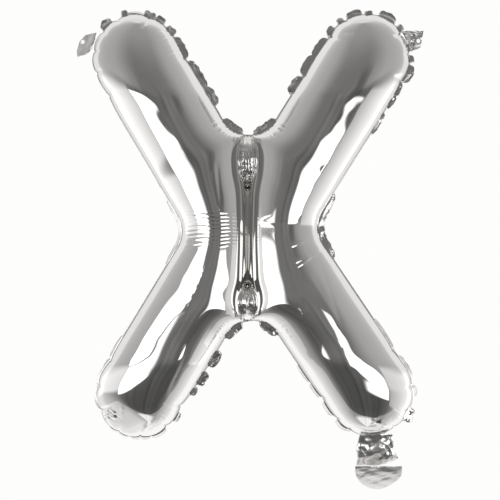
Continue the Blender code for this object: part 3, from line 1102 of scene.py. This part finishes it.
@dataclass
class SeamFlange:
    """The welded margin all round, in crumpled scallops where the seam is gathered."""

    seam: Seam
    thickness: float = 0.24
    tuck: float = 1.2
    plain_width: float = 1.2
    plain_lean: float = 76.0
    plain_crush: float = 0.12
    columns: int = 12

    def build(self, name: str) -> bpy.types.Object:
        """Makes the flange as one closed ring with a thin wall.

        Args:
            name: The piece's name.

        Returns:
            The flange.
        """
        seam, runs, count = self.seam, self.seam.run, len(self.seam.run)
        plain = (self.plain_width, self.plain_lean, self.plain_crush)
        width, lean, crush = (np.full(count, value) for value in plain)
        for scallop in SCALLOPS:
            apart = seam.apart(runs, seam.run_at(scallop.x, scallop.z))
            half = scallop.length / 2
            share = np.clip(1.0 - (apart / half) ** 4, 0.0, 1.0) ** 0.5
            hold = window(apart, half + 0.6, 2.0)
            width = np.maximum(width, scallop.height * share)
            lean = lean + (scallop.lean - lean) * hold
            crush = crush + (scallop.crush - crush) * hold
        sink = np.zeros(count)
        for gathered in (*PINCHES, *TEETH):
            sink += gathered.sink(seam, runs, np.zeros(count))
        points = seam.points - seam.normals * sink[:, None]
        rng = np.random.default_rng(31)
        width = width * (1 + 0.05 * ripple(runs[:, None], 6.0, 32)) + 0.05 * rng.normal(size=count)
        sway = 0.25 * ripple(runs[:, None], 16.0, 33)
        out = np.concatenate(([-self.tuck], np.linspace(0.0, 1.0, self.columns - 1)))
        spots = np.empty((count, self.columns, 3))
        for j, share in enumerate(out):
            reach = share * width if share > 0 else np.full(count, share)
            tilt = np.radians(lean) * min(max(share, 0.0) * 2.0, 1.0)
            flat = points + seam.normals * (reach * np.cos(tilt))[:, None]
            behind = reach * np.sin(tilt) + max(share, 0.0) * sway
            if share > 0:
                facets = crumple(np.stack((runs, reach), axis=1), 3.0, 34)
                behind += crush * min(share * 2, 1.0) * facets
            spots[:, j] = np.stack((flat[:, 0], behind, flat[:, 1]), axis=1)
        data = Workshop.grid(name, seam.plan.place_grid(spots), closed=True)
        Workshop.mark(data, 0.4 + 0.6 * np.tile(np.clip(out, 0, 1), count))
        return Workshop.sheet(name, data, self.thickness, 0)


@dataclass
class CentreWeld:
    """The lens that stands for a weld: raised, so that it catches the light, and alike on both faces.

    A groove runs down its middle, its two halves lean away from the groove, and crushed patches
    cross it, each given by its middle's height, its reach and how high its facets stand.
    """

    plan: LetterPlan
    weld: Weld
    groove_width: float
    patches: tuple[tuple[float, float, float], ...]
    strip_lean: float = 13.0
    crush: float = 0.10
    wave: float = 2.4
    half_width: float = 7.6
    depth: float = 17.0
    half_thickness: float = 0.12
    rows: int = 150
    columns: int = 41

    def build(self) -> bpy.types.Object:
        """Makes the lens.

        Returns:
            A closed piece that carries the weld's name.
        """
        plan, weld = self.plan, self.weld
        notch = plan.notch(weld.up)
        start = notch.centre.y - (plan.notch_fillet + 0.2) * weld.up
        end = weld.valley_end + 1.2 * weld.up
        share = np.linspace(0.0, 1.0, self.rows)
        heights = start + (end - start) * share
        half = 1.2 + (self.half_width - 1.2) * np.sin(math.pi * np.clip(share, 0.02, 0.98)) ** 0.7
        across = np.linspace(-1.0, 1.0, self.columns)
        x = half[:, None] * across[None, :]
        z = np.repeat(heights[:, None], self.columns, axis=1)
        plane = np.stack((x.ravel(), z.ravel()), axis=1)
        aside = np.abs(across)[None, :]
        inner = np.minimum(self.groove_width, 0.55 * half)[:, None]
        slope = math.tan(math.radians(self.strip_lean))
        roof = (self.depth - np.abs(x) * slope) * (half / self.half_width)[:, None]
        roof *= np.sqrt(1.0 - 0.97 * aside**8)
        groove = np.exp(-((x / inner) ** 2))
        facets = crumple(plane, self.wave, 41 + weld.up).reshape(x.shape)
        crushed, lean = np.zeros(x.shape), np.zeros(x.shape)
        for middle, reach, height in self.patches:
            hold = window(z - middle, reach, 0.45 * reach)
            crushed += hold * height * facets
            lean += hold * 0.16 * (z - middle) * np.where(aside < 0.15, 0.3, 1.0)
        crushed += self.crush * 0.3 * facets
        strength = smooth((1.0 - aside) / 0.12) * smooth(share / 0.06)[:, None]
        strength *= smooth((1 - share) / 0.05)[:, None]
        relief = self.half_thickness + np.maximum(roof + (crushed + lean - groove) * strength, 0.0)
        front = np.stack((x, -relief, z), axis=2)
        back = np.stack((x, relief, z), axis=2)[:, ::-1]
        ring = np.concatenate((front, back, front[:, :1]), axis=1)
        if weld.up < 0:
            ring = ring[::-1]
        data = Workshop.grid(weld.name + "_foil", plan.place_grid(ring))
        Workshop.close(data)
        Workshop.mark(data, np.full(len(data.vertices), 1.0))
        return Workshop.link(weld.name + "_foil", data)


@dataclass
class HangingTab:
    """A small crumpled tab at an upper arm's end, with the hole that the string runs through."""

    plan: LetterPlan
    name: str
    arm: tuple[int, int]
    angle: float
    edge: tuple[tuple[float, float], ...]
    lean: float
    crush: float
    seed: int
    hole_reach: float = 45.4
    hole_radius: float = 1.6
    wall: float = 0.25
    spokes: int = 120
    rings: int = 16

    def _edge_reach(self, turns: np.ndarray) -> np.ndarray:
        """Distance from the hole's centre to the tab's edge.

        Args:
            turns: Directions, in radians.

        Returns:
            A distance for each direction.
        """
        corners = np.array(self.edge + self.edge[:1])
        reach = np.full(len(turns), 1e9)
        for start, end in zip(corners, corners[1:]):
            side = end - start
            cross = np.cos(turns) * side[1] - np.sin(turns) * side[0]
            with np.errstate(divide="ignore"):
                far = (start[0] * side[1] - start[1] * side[0]) / cross
                at = (start[0] * np.sin(turns) - start[1] * np.cos(turns)) / cross
            hit = (far > 0) & (at >= -1e-9) & (at <= 1 + 1e-9)
            reach[hit] = np.minimum(reach[hit], far[hit])
        return reach

    def build(self) -> bpy.types.Object:
        """Makes the tab as rings from its hole out to its edge.

        Returns:
            The tab, with a thin wall.
        """
        arm = self.plan.arms[self.arm]
        angle = math.radians(self.angle)
        hole = np.array(tuple(arm.centre)) + self.hole_reach * np.array((math.cos(angle), math.sin(angle)))
        turns = np.linspace(0.0, 2 * math.pi, self.spokes, endpoint=False)
        spots = np.empty((self.spokes, self.rings, 3))
        away = np.stack((np.cos(turns), np.sin(turns)), axis=1)
        edge = self._edge_reach(turns)
        edge *= 1 + 0.03 * np.sin(turns * 9 + self.seed)
        for j in range(self.rings):
            share = j / (self.rings - 1)
            flat = hole + away * (self.hole_radius * (1 - share) + edge * share)[:, None]
            bend = crumple(flat, 2.8, self.seed, 4) * self.crush * smooth(np.array(share * 3))
            behind = 0.9 - (flat[:, 0] - hole[0]) * math.tan(math.radians(self.lean)) + bend
            spots[:, j] = np.stack((flat[:, 0], behind, flat[:, 1]), axis=1)
        data = Workshop.grid(self.name, self.plan.place_grid(spots), closed=True)
        Workshop.mark(data, np.full(len(data.vertices), 0.9))
        return Workshop.sheet(self.name, data, self.wall, 0)


@dataclass(frozen=True)
class ValveSection:
    """A level of the fill valve: its left and right edge, and how far it is puffed."""

    z: float
    left: float
    right: float
    puff: float


@dataclass
class ValvePart:
    """The fill valve's crumpled neck or its half-round tail, as a flattened tube."""

    plan: LetterPlan
    name: str
    sections: Sequence[ValveSection]
    wave: tuple[float, float]
    crush: float
    fine: float
    lean: float
    seed: int
    rows: int = 70
    columns: int = 96
    least_half_thickness: float = 0.15

    def build(self) -> bpy.types.Object:
        """Makes the tube, closed at both ends.

        Returns:
            The part, which leans so that its lower end stands further back.
        """
        levels = np.array([(s.z, s.left, s.right, s.puff) for s in self.sections])
        run = np.linspace(0, len(levels) - 1, self.rows)
        level = np.arange(len(levels))
        z, left, right, puff = (np.interp(run, level, levels[:, k]) for k in range(4))
        for values in (left, right, puff):
            values[1:-1] = (values[:-2] + 2 * values[1:-1] + values[2:]) / 4
        turns = np.linspace(0.0, 2 * math.pi, self.columns, endpoint=False)
        across = np.sign(np.cos(turns)) * np.abs(np.cos(turns)) ** 0.8
        depth = np.sign(np.sin(turns)) * np.abs(np.sin(turns)) ** 0.7
        middle, half = (left + right) / 2, (right - left) / 2
        x = middle[:, None] + half[:, None] * across[None, :]
        y = puff[:, None] * depth[None, :]
        high = np.repeat(z[:, None], self.columns, axis=1)
        spots = np.stack((x, y, high), axis=2)
        squeezed = spots.reshape(-1, 3) / np.array((self.wave[0], 4.0, self.wave[1]))
        crushed = crumple(squeezed, 1.0, self.seed, 4).reshape(x.shape)
        fine = crumple(squeezed * 2.4, 1.0, self.seed + 1).reshape(x.shape)
        swing = np.sign(depth)[None, :] * np.abs(depth)[None, :] ** 0.5
        y = y + swing * (crushed * self.crush + fine * self.fine)
        thin = self.least_half_thickness
        y = np.where(depth[None, :] > 0, np.maximum(y, thin), np.minimum(y, -thin))
        y += ((z[0] + z[-1]) / 2 - high) * math.tan(math.radians(self.lean))
        place = self.plan.place_grid(np.stack((x, y, high), axis=2))
        data = Workshop.grid(self.name, np.concatenate((place, place[:, :1]), axis=1))
        Workshop.close(data)
        Workshop.mark(data, np.full(len(data.vertices), 0.8))
        return Workshop.link(self.name, data)


NECK = (
    ValveSection(-168.2, 92.0, 119.0, 0.8),
    ValveSection(-176.5, 90.2, 120.2, 2.0),
    ValveSection(-181.5, 89.2, 120.8, 3.0),
    ValveSection(-186.0, 90.0, 123.2, 3.2),
    ValveSection(-188.6, 90.2, 124.9, 2.6),
    ValveSection(-190.6, 90.0, 120.6, 2.2),
    ValveSection(-192.8, 89.8, 115.8, 1.6),
    ValveSection(-194.6, 89.8, 111.6, 0.8),
)

TAIL = (
    ValveSection(-194.4, 88.3, 126.5, 0.5),
    ValveSection(-195.4, 88.1, 126.9, 1.2),
    ValveSection(-199.0, 88.1, 127.0, 1.9),
    ValveSection(-203.0, 89.0, 126.4, 2.1),
    ValveSection(-207.0, 91.2, 123.2, 1.9),
    ValveSection(-210.5, 94.6, 118.6, 1.5),
    ValveSection(-213.0, 99.0, 113.8, 1.0),
    ValveSection(-214.5, 104.2, 109.2, 0.5),
)


class NodeMaths:
    """Adds nodes to one shader tree, and does sums on their sockets."""

    def __init__(self, tree: bpy.types.NodeTree) -> None:
        """Takes the tree that the nodes are added to."""
        self.nodes, self.links = tree.nodes, tree.links

    def feed(self, socket: bpy.types.NodeSocket, value: object) -> None:
        """Gives an input socket what it reads.

        Args:
            socket: The input.
            value: A number or a colour, or an output to link.
        """
        if isinstance(value, (int, float, tuple)):
            socket.default_value = value
        else:
            self.links.new(value, socket)

    def node(
        self, kind: str, inputs: Mapping[str | int, object] | None = None, **choices: object
    ) -> bpy.types.Node:
        """Adds a node.

        Args:
            kind: Its type, without the word ShaderNode.
            inputs: What its inputs are fed, by their names or places.
            choices: Its other settings.

        Returns:
            The node.
        """
        made = self.nodes.new("ShaderNode" + kind)
        for name, choice in choices.items():
            setattr(made, name, choice)
        for slot, value in (inputs or {}).items():
            self.feed(made.inputs[slot], value)
        return made

    def maths(self, operation: str, *values: object) -> bpy.types.NodeSocket:
        """A Math node's output, from sockets or numbers."""
        return self.node("Math", dict(enumerate(values)), operation=operation).outputs[0]

    def rise(self, value: object, start: float, end: float) -> bpy.types.NodeSocket:
        """A soft step over a value: 0 up to start and 1 from end."""
        inputs = {"Value": value, "From Min": start, "From Max": end}
        return self.node("MapRange", inputs, interpolation_type="SMOOTHSTEP").outputs["Result"]

    def ramp(
        self, value: object, low: float, high: float, stops: Sequence[tuple[float, float]]
    ) -> bpy.types.NodeSocket:
        """A value read off a line through stops.

        Args:
            value: What is looked up.
            low: The value at the line's start.
            high: The value at its end.
            stops: Pairs of a value and what it becomes, in rising order.

        Returns:
            The looked-up value.
        """
        run = self.maths("MULTIPLY_ADD", value, 1 / (high - low), -low / (high - low))
        node = self.node("ValToRGB", {"Fac": run})
        line = node.color_ramp.elements
        line.remove(line[1])
        for i, (at, grey) in enumerate(stops):
            share = (at - low) / (high - low)
            stop = line[0] if i == 0 else line.new(share)
            stop.position = share
            stop.color = (grey, grey, grey, 1.0)
        return node.outputs["Color"]

    def between(self, first: object, second: object, share: object) -> bpy.types.NodeSocket:
        """A mix that is the first value where the share is 0 and the second where it is 1."""
        inputs = {"Factor": share, "A": first, "B": second}
        return self.node("Mix", inputs, data_type="FLOAT").outputs["Result"]


class CrinkleGroup:
    """The shader node group that gives every foil its faint crinkle, tint and dulling."""

    NAME = "foil_crinkle"
    GRAIN_SCALE = 900.0
    CRACK_SCALE = 260.0
    CLOUD_SCALE = 22.0

    @classmethod
    def get(cls) -> bpy.types.NodeTree:
        """The group, built the first time that it is asked for."""
        found = bpy.data.node_groups.get(cls.NAME)
        return found or cls._make()

    @classmethod
    def _make(cls) -> bpy.types.NodeTree:
        """Builds the group's sockets and nodes.

        Returns:
            The group.
        """
        group = bpy.data.node_groups.new(cls.NAME, "ShaderNodeTree")
        face = group.interface
        face.new_socket("Vector", in_out="INPUT", socket_type="NodeSocketVector")
        for name in ("Seam Share", "Roughness", "Dulling"):
            face.new_socket(name, in_out="INPUT", socket_type="NodeSocketFloat")
        for name in ("Tint", "Roughness", "Height"):
            face.new_socket(name, in_out="OUTPUT", socket_type="NodeSocketFloat")
        tree = NodeMaths(group)
        maths = tree.maths
        into, out = group.nodes.new("NodeGroupInput"), group.nodes.new("NodeGroupOutput")
        place, share = into.outputs["Vector"], into.outputs["Seam Share"]
        grain = tree.node("TexNoise", {"Vector": place, "Scale": cls.GRAIN_SCALE, "Detail": 3.0})
        cloud = tree.node("TexNoise", {"Vector": place, "Scale": cls.CLOUD_SCALE, "Detail": 2.0})
        cells = {"Vector": place, "Scale": cls.CRACK_SCALE}
        cracks = tree.node("TexVoronoi", cells, feature="DISTANCE_TO_EDGE")
        edge = maths("MINIMUM", maths("MULTIPLY", cracks.outputs["Distance"], 6.0), 1.0)
        rough = maths("MULTIPLY_ADD", share, into.outputs["Dulling"], into.outputs["Roughness"])
        worn = maths("MULTIPLY_ADD", cloud.outputs["Fac"], 0.03, rough)
        tree.feed(out.inputs["Tint"], maths("MULTIPLY_ADD", cloud.outputs["Fac"], 0.06, 0.97))
        tree.feed(out.inputs["Roughness"], maths("SUBTRACT", worn, 0.015))
        raised = maths("MULTIPLY_ADD", grain.outputs["Fac"], 0.5, edge)
        height = maths("MULTIPLY", raised, share)
        tree.feed(out.inputs["Height"], height)
        return group


@dataclass(frozen=True)
class FoilFinish:
    """Metallised foil, polished on the lobes and dulled where it has been pressed or crushed."""

    name: str
    tint: tuple[float, float, float]
    roughness: float
    dulling: float
    bump: float
    bump_depth: float = 0.00012

    def make(self) -> bpy.types.Material:
        """Builds the material.

        Returns:
            The material, whose crinkle and dulling follow each piece's seam shares.
        """
        made = bpy.data.materials.new(self.name)
        made.use_nodes = True
        tree = NodeMaths(made.node_tree)
        share = tree.node("Attribute", attribute_name="seam_share")
        into = {
            "Vector": tree.node("TexCoord").outputs["Object"],
            "Seam Share": share.outputs["Fac"],
            "Roughness": self.roughness,
            "Dulling": self.dulling,
        }
        crinkle = tree.node("Group", into, node_tree=CrinkleGroup.get()).outputs
        colours = {"Factor": 1.0, 6: (*self.tint, 1.0), 7: crinkle["Tint"]}
        tint = tree.node("Mix", colours, data_type="RGBA", blend_type="MULTIPLY")
        relief = {"Strength": self.bump, "Distance": self.bump_depth, "Height": crinkle["Height"]}
        bump = tree.node("Bump", relief)
        shader = tree.nodes["Principled BSDF"]
        tree.feed(shader.inputs["Metallic"], 1.0)
        tree.feed(shader.inputs["Base Color"], tint.outputs[2])
        tree.feed(shader.inputs["Roughness"], crinkle["Roughness"])
        tree.feed(shader.inputs["Normal"], bump.outputs["Normal"])
        return made


@dataclass(frozen=True)
class SoftBox:
    """An upright light.

    It is given by its side edges in plan and the heights of its bottom and top edges, from its near
    side to its far side.
    """

    name: str
    near: tuple[float, float]
    far: tuple[float, float]
    bottom: tuple[float, float]
    top: tuple[float, float, float]
    glow: tuple[float, float]
    soft_near: float = 0.0
    soft_far: float = 0.0
    soft_edge: float = 0.012


SOFT_BOXES = (
    SoftBox(
        "left_soft_box", (-0.147, -0.445), (-0.455, -0.225),
        (-0.37, -0.42), (-0.139, -0.147, -0.150), (1.4, 1.4), 0.2, 0.05,
    ),
    SoftBox(
        "left_card", (-0.455, -0.225), (-0.46, +0.25),
        (-0.40, -0.40), (-0.100, -0.100, -0.100), (0.45, 0.60), soft_edge=0.08,
    ),
    SoftBox(
        "right_soft_box", (+0.140, -0.455), (+0.444, -0.258),
        (-0.348, -0.42), (-0.132, -0.155, -0.262), (1.4, 1.4), 0.12, 0.12,
    ),
    SoftBox(
        "right_low_box", (+0.105, -0.101), (+0.599, -0.386),
        (-0.325, -0.607), (-0.292, -0.325, -0.365), (1.4, 1.4), 0.05, 0.2,
    ),
    SoftBox(
        "right_card", (+0.444, -0.258), (+0.45, +0.25),
        (-0.60, -0.60), (-0.120, -0.120, -0.120), (0.30, 0.50), soft_edge=0.07,
    ),
)


@dataclass(frozen=True)
class Canopy:
    """A level light that shines down: its corners in plan, anticlockwise, its height and its brightness."""

    name: str
    corners: tuple[tuple[float, float], ...]
    height: float
    glow: float
    soft: float


CANOPIES = (
    Canopy(
        "left_canopy", ((-0.045, -0.070), (-0.300, -0.100), (-0.460, -0.220), (-0.165, -0.430)),
        -0.142, 1.4, 0.012,
    ),
)


@dataclass
class Studio:
    """A plain white studio: a pale floor, soft boxes, white cards, a dim front and a camera."""

    middle: tuple[float, float] = (-0.0005, -0.1715)
    floor_z: float = -0.62
    distance: float = 2.0
    frame_width: float = 0.411

    def floor(self) -> bpy.types.Object:
        """A pale round floor that fades into the white round it.

        Returns:
            The floor.
        """
        bpy.ops.object.select_all(action="DESELECT")
        place = (0, 0, self.floor_z)
        bpy.ops.mesh.primitive_circle_add(vertices=96, radius=2.0, fill_type="NGON", location=place)
        obj = bpy.context.object
        obj.name = "studio_floor"
        obj.visible_glossy = False
        made = bpy.data.materials.new("studio_floor")
        made.use_nodes = True
        tree = NodeMaths(made.node_tree)
        shader, out = tree.nodes["Principled BSDF"], tree.nodes["Material Output"]
        tree.feed(shader.inputs["Base Color"], (0.9, 0.9, 0.895, 1.0))
        tree.feed(shader.inputs["Roughness"], 0.9)
        glow = tree.node("Emission", {"Color": (0.99, 0.99, 0.99, 1.0)})
        spot = tree.node("TexCoord").outputs["Object"]
        length = tree.node("VectorMath", {0: spot}, operation="LENGTH")
        fade = tree.rise(length.outputs["Value"], 0.45, 1.5)
        mix = tree.node("MixShader", {0: fade, 1: shader.outputs[0], 2: glow.outputs[0]})
        tree.feed(out.inputs["Surface"], mix.outputs[0])
        obj.data.materials.append(made)
        return obj

    def area_light(self, name: str, size: tuple[float, float], place: Sequence[float]) -> bpy.types.Object:
        """An area light of brightness 1 that mirrors in the foil but isn't itself in the picture.

        Args:
            name: The light's name.
            size: Its width and height.
            place: Its middle.

        Returns:
            The light, which faces down.
        """
        data = bpy.data.lights.new(name, "AREA")
        data.shape = "RECTANGLE"
        data.size, data.size_y = size
        data.energy = math.pi * size[0] * size[1]
        obj = bpy.data.objects.new(name, data)
        obj.location = place
        obj.visible_camera = False
        bpy.context.scene.collection.objects.link(obj)
        return obj

    @staticmethod
    def light_nodes(light: bpy.types.Object) -> tuple[NodeMaths, Sequence[bpy.types.NodeSocket]]:
        """Opens a light's nodes.

        Args:
            light: The light.

        Returns:
            Its tree, and three sockets: the shares of the way over its width and up its height,
            and its strength.
        """
        light.data.use_nodes = True
        tree = NodeMaths(light.data.node_tree)
        spot = tree.node("NewGeometry").outputs["Parametric"]
        axes = tree.node("SeparateXYZ", {0: spot}).outputs
        emission = next(node for node in tree.nodes if node.bl_idname == "ShaderNodeEmission")
        return tree, (axes[0], axes[1], emission.inputs["Strength"])

    def soft_box(self, box: SoftBox) -> None:
        """Stands a soft box up, darkened outside its edges and with its brightness running from side to side.

        Args:
            box: Its edges and brightness.
        """
        near, far = Vector(box.near), Vector(box.far)
        middle = (near + far) / 2
        low, high = min(box.bottom), max(box.top)
        place = (middle.x, middle.y, (low + high) / 2)
        obj = self.area_light(box.name, ((far - near).length, high - low), place)
        across = (far - near).orthogonal()
        facing = across if across.dot(middle) < 0 else -across
        turn = Vector((facing.x, facing.y, 0.0)).to_track_quat("-Z", "Y")
        obj.rotation_euler = turn.to_euler()
        reversed_run = (turn @ Vector((1.0, 0.0, 0.0))).xy.dot(far - near) < 0
        tree, (over, upwards, strength) = self.light_nodes(obj)
        maths, rise, between = tree.maths, tree.rise, tree.between
        run = maths("SUBTRACT", 1.0, over) if reversed_run else over
        height = between(low, high, upwards)
        first_half = between(box.top[0], box.top[1], maths("MULTIPLY", run, 2.0))
        second_half = between(box.top[1], box.top[2], maths("MULTIPLY_ADD", run, 2.0, -1.0))
        top = between(first_half, second_half, maths("GREATER_THAN", run, 0.5))
        under_top = rise(maths("SUBTRACT", top, height), 0.0, box.soft_edge)
        bottom = between(box.bottom[0], box.bottom[1], run)
        over_bottom = rise(maths("SUBTRACT", height, bottom), 0.0, box.soft_edge)
        inside = maths("MULTIPLY", under_top, over_bottom)
        glow = maths("MULTIPLY", between(box.glow[0], box.glow[1], run), inside)
        if box.soft_near:
            glow = maths("MULTIPLY", glow, rise(run, 0.0, box.soft_near))
        if box.soft_far:
            glow = maths("MULTIPLY", glow, rise(maths("SUBTRACT", 1.0, run), 0.0, box.soft_far))
        tree.feed(strength, glow)

    def canopy(self, canopy: Canopy) -> None:
        """Hangs a level light and darkens all of it outside its corners.

        Args:
            canopy: Its corners, height and brightness.
        """
        corners = np.array(canopy.corners)
        low, high = corners.min(axis=0), corners.max(axis=0)
        middle, size = (low + high) / 2, high - low
        obj = self.area_light(canopy.name, tuple(size), (*middle, canopy.height))
        tree, (over, upwards, strength) = self.light_nodes(obj)
        glow = canopy.glow
        for start, end in zip(corners, np.roll(corners, -1, axis=0)):
            side = (end - start) / np.linalg.norm(end - start)
            inward = np.array((-side[1], side[0]))
            wide, long = (float(step) for step in inward * size)
            across = tree.maths("MULTIPLY_ADD", over, wide, float(inward @ (low - start)))
            inside = tree.maths("MULTIPLY_ADD", upwards, long, across)
            glow = tree.maths("MULTIPLY", tree.rise(inside, 0.0, canopy.soft), glow)
        tree.feed(strength, glow)

    def cards(self) -> None:
        """Hangs the level lights: the canopy that shines down, and the white card that shines up."""
        for canopy in CANOPIES:
            self.canopy(canopy)
        card = self.area_light("floor_card", (0.80, 0.52), (0.0, 0.14, -0.51))
        card.data.energy *= 0.2
        card.rotation_euler = (math.pi, 0.0, 0.0)

    def world(self) -> None:
        """White all round, a dim front that the foil mirrors, and grey above it."""
        made = bpy.data.worlds.new("studio")
        bpy.context.scene.world = made
        made.use_nodes = True
        tree = NodeMaths(made.node_tree)
        tree.nodes.clear()
        place = tree.node("TexCoord").outputs["Generated"]
        x, y, z = tree.node("SeparateXYZ", {0: place}).outputs
        maths, rise, between = tree.maths, tree.rise, tree.between
        # What the foil mirrors, by how far above the level and aside from straight ahead it lies
        rising = maths("MULTIPLY", maths("ARCSINE", z), 180 / math.pi)
        azimuth = maths("MULTIPLY", maths("ARCTAN2", x, maths("MULTIPLY", y, -1.0)), 180 / math.pi)
        away = maths("ABSOLUTE", azimuth)
        ahead = tree.ramp(rising, -90, 90, (
            (-90, 0.80), (-69, 0.78), (-64, 0.10), (-50, 0.08), (-30, 0.085),
            (-20, 0.10), (-10, 0.14), (0, 0.18), (10, 0.175), (20, 0.185),
            (30, 0.205), (40, 0.245), (50, 0.285), (60, 0.32), (90, 0.36),
        ))
        sides = tree.ramp(away, 0, 180, ((50, 0.39), (70, 0.43), (90, 0.49), (110, 0.60), (130, 0.80)))
        low_sides = tree.ramp(away, 0, 180, ((50, 0.16), (70, 0.32), (90, 0.50), (110, 0.70)))
        waves = {"W": azimuth, "Scale": 0.1, "Detail": 2.0}
        bands = tree.node("TexNoise", waves, noise_dimensions="1D")
        streaks = maths("MULTIPLY_ADD", bands.outputs["Fac"], 1.2, 0.4)
        front = maths("MULTIPLY", ahead, between(streaks, 1.0, rise(rising, -8.0, 20.0)))
        # A dark flag to the right of the camera
        flag = maths("MULTIPLY", rise(azimuth, 16.0, 30.0), maths("SUBTRACT", 1.0, rise(azimuth, 36.0, 39.0)))
        shade = maths("MULTIPLY", flag, maths("SUBTRACT", 1.0, rise(maths("ABSOLUTE", rising), 4.0, 22.0)))
        front = maths("MULTIPLY", front, maths("MULTIPLY_ADD", shade, -0.5, 1.0))
        upper = between(front, sides, rise(away, 20.0, 62.0))
        lower = between(front, low_sides, rise(away, 35.0, 65.0))
        with_sides = between(lower, upper, rise(rising, -14.0, -4.0))
        # The bright room behind the letter, and what its rim sees straight behind it
        with_back = between(with_sides, 0.88, rise(y, 0.22, 0.38))
        mirrored = between(with_back, between(0.55, 0.24, rise(z, -0.12, 0.02)), rise(y, 0.82, 0.93))
        path = tree.node("LightPath")
        lit = between(mirrored, 1.0, path.outputs["Is Diffuse Ray"])
        seen = between(lit, 0.99, path.outputs["Is Camera Ray"])
        back = tree.node("Background", {"Color": (1.0, 0.995, 0.99, 1.0), "Strength": seen})
        tree.node("OutputWorld", {"Surface": back.outputs[0]})

    def camera(self) -> None:
        """A long lens straight in front of the letter's middle."""
        data = bpy.data.cameras.new("camera")
        data.sensor_width = 36.0
        data.lens = 36.0 * self.distance / self.frame_width
        obj = bpy.data.objects.new("camera", data)
        obj.location = (self.middle[0], -self.distance, self.middle[1])
        obj.rotation_euler = (math.pi / 2, 0.0, 0.0)
        bpy.context.scene.collection.objects.link(obj)
        bpy.context.scene.camera = obj

    def build(self) -> None:
        """Sets up the floor, the lights and the camera."""
        self.floor()
        self.world()
        for box in SOFT_BOXES:
            self.soft_box(box)
        self.cards()
        self.camera()
        bpy.context.scene.view_settings.view_transform = "Standard"


LETTER_FOIL = FoilFinish("letter_foil", (0.87, 0.86, 0.845), 0.045, 0.07, 0.25)
FLANGE_FOIL = FoilFinish("flange_foil", (0.84, 0.83, 0.815), 0.10, 0.08, 0.4)
WELD_FOIL = FoilFinish("weld_foil", (0.93, 0.92, 0.91), 0.14, 0.06, 0.35)
TAB_FOIL = FoilFinish("tab_foil", (0.88, 0.87, 0.86), 0.12, 0.06, 0.35)
NECK_FOIL = FoilFinish("neck_foil", (0.92, 0.91, 0.90), 0.20, 0.05, 0.3)
TAIL_FOIL = FoilFinish("tail_foil", (0.90, 0.89, 0.88), 0.30, 0.05, 0.3)


def show(piece: bpy.types.Object, finish: FoilFinish, nodes: Sequence[str]) -> None:
    """Dresses a piece and lets it stand for its nodes of the frame.

    Args:
        piece: The finished piece.
        finish: Its material.
        nodes: The frame's nodes that it replaces.
    """
    piece.data.materials.clear()
    piece.data.materials.append(bpy.data.materials.get(finish.name) or finish.make())
    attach(piece, "root")
    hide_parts(*nodes)
    triangles = sum(len(face.vertices) - 2 for face in piece.data.polygons)
    LOG.info("%s: %d triangles", piece.name, triangles)


def main() -> None:
    """Builds the letter piece by piece, then the studio round it."""
    logging.basicConfig(level=logging.INFO, format="%(name)s: %(message)s")
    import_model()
    plan = LetterPlan()
    seam = Seam(plan)
    skin = FoilSkin(plan, seam)
    show(skin.build("front_foil_skin", Panel.FRONT), LETTER_FOIL, ["front_foil"])
    show(skin.build("back_foil_skin", Panel.BACK), LETTER_FOIL, ["back_foil"])
    show(SeamFlange(seam).build("seam_flange_foil"), FLANGE_FOIL, ["seam_flange"])
    upper = CentreWeld(plan, plan.welds[+1], 1.5, ((60.0, 13.0, 0.12), (38.0, 7.0, 0.16)))
    lower = CentreWeld(plan, plan.welds[-1], 0.8, ((-57.0, 15.0, 0.05),))
    for weld in (upper, lower):
        show(weld.build(), WELD_FOIL, [weld.weld.name])
    left_edge = (
        (11.8, 6.8), (2.6, 5.6), (-2.8, 0.4), (-5.0, -7.0),
        (-4.6, -12.6), (5.4, -9.4), (9.0, -3.2), (10.6, 1.2),
    )
    right_edge = ((-14.4, 7.6), (-4.0, 8.4), (4.2, 8.2), (2.8, 1.0), (1.8, -5.4), (-6.0, -8.8), (-9.4, -1.0))
    for tab in (
        HangingTab(plan, "hanging_tab_left_foil", (-1, +1), 163.0, left_edge, 36.0, 0.35, 52),
        HangingTab(plan, "hanging_tab_right_foil", (+1, +1), 18.0, right_edge, -12.0, 0.9, 55),
    ):
        show(tab.build(), TAB_FOIL, [tab.name.removesuffix("_foil")])
    neck = ValvePart(plan, "valve_neck_foil", NECK, (4.6, 4.0), 0.75, 0.17, 14.0, 61)
    tail = ValvePart(plan, "valve_tail_foil", TAIL, (9.0, 2.6), 0.20, 0.09, 33.0, 65)
    show(neck.build(), NECK_FOIL, ["valve_neck"])
    show(tail.build(), TAIL_FOIL, ["valve_tail"])
    Studio().build()


if __name__ == "__main__":
    main()
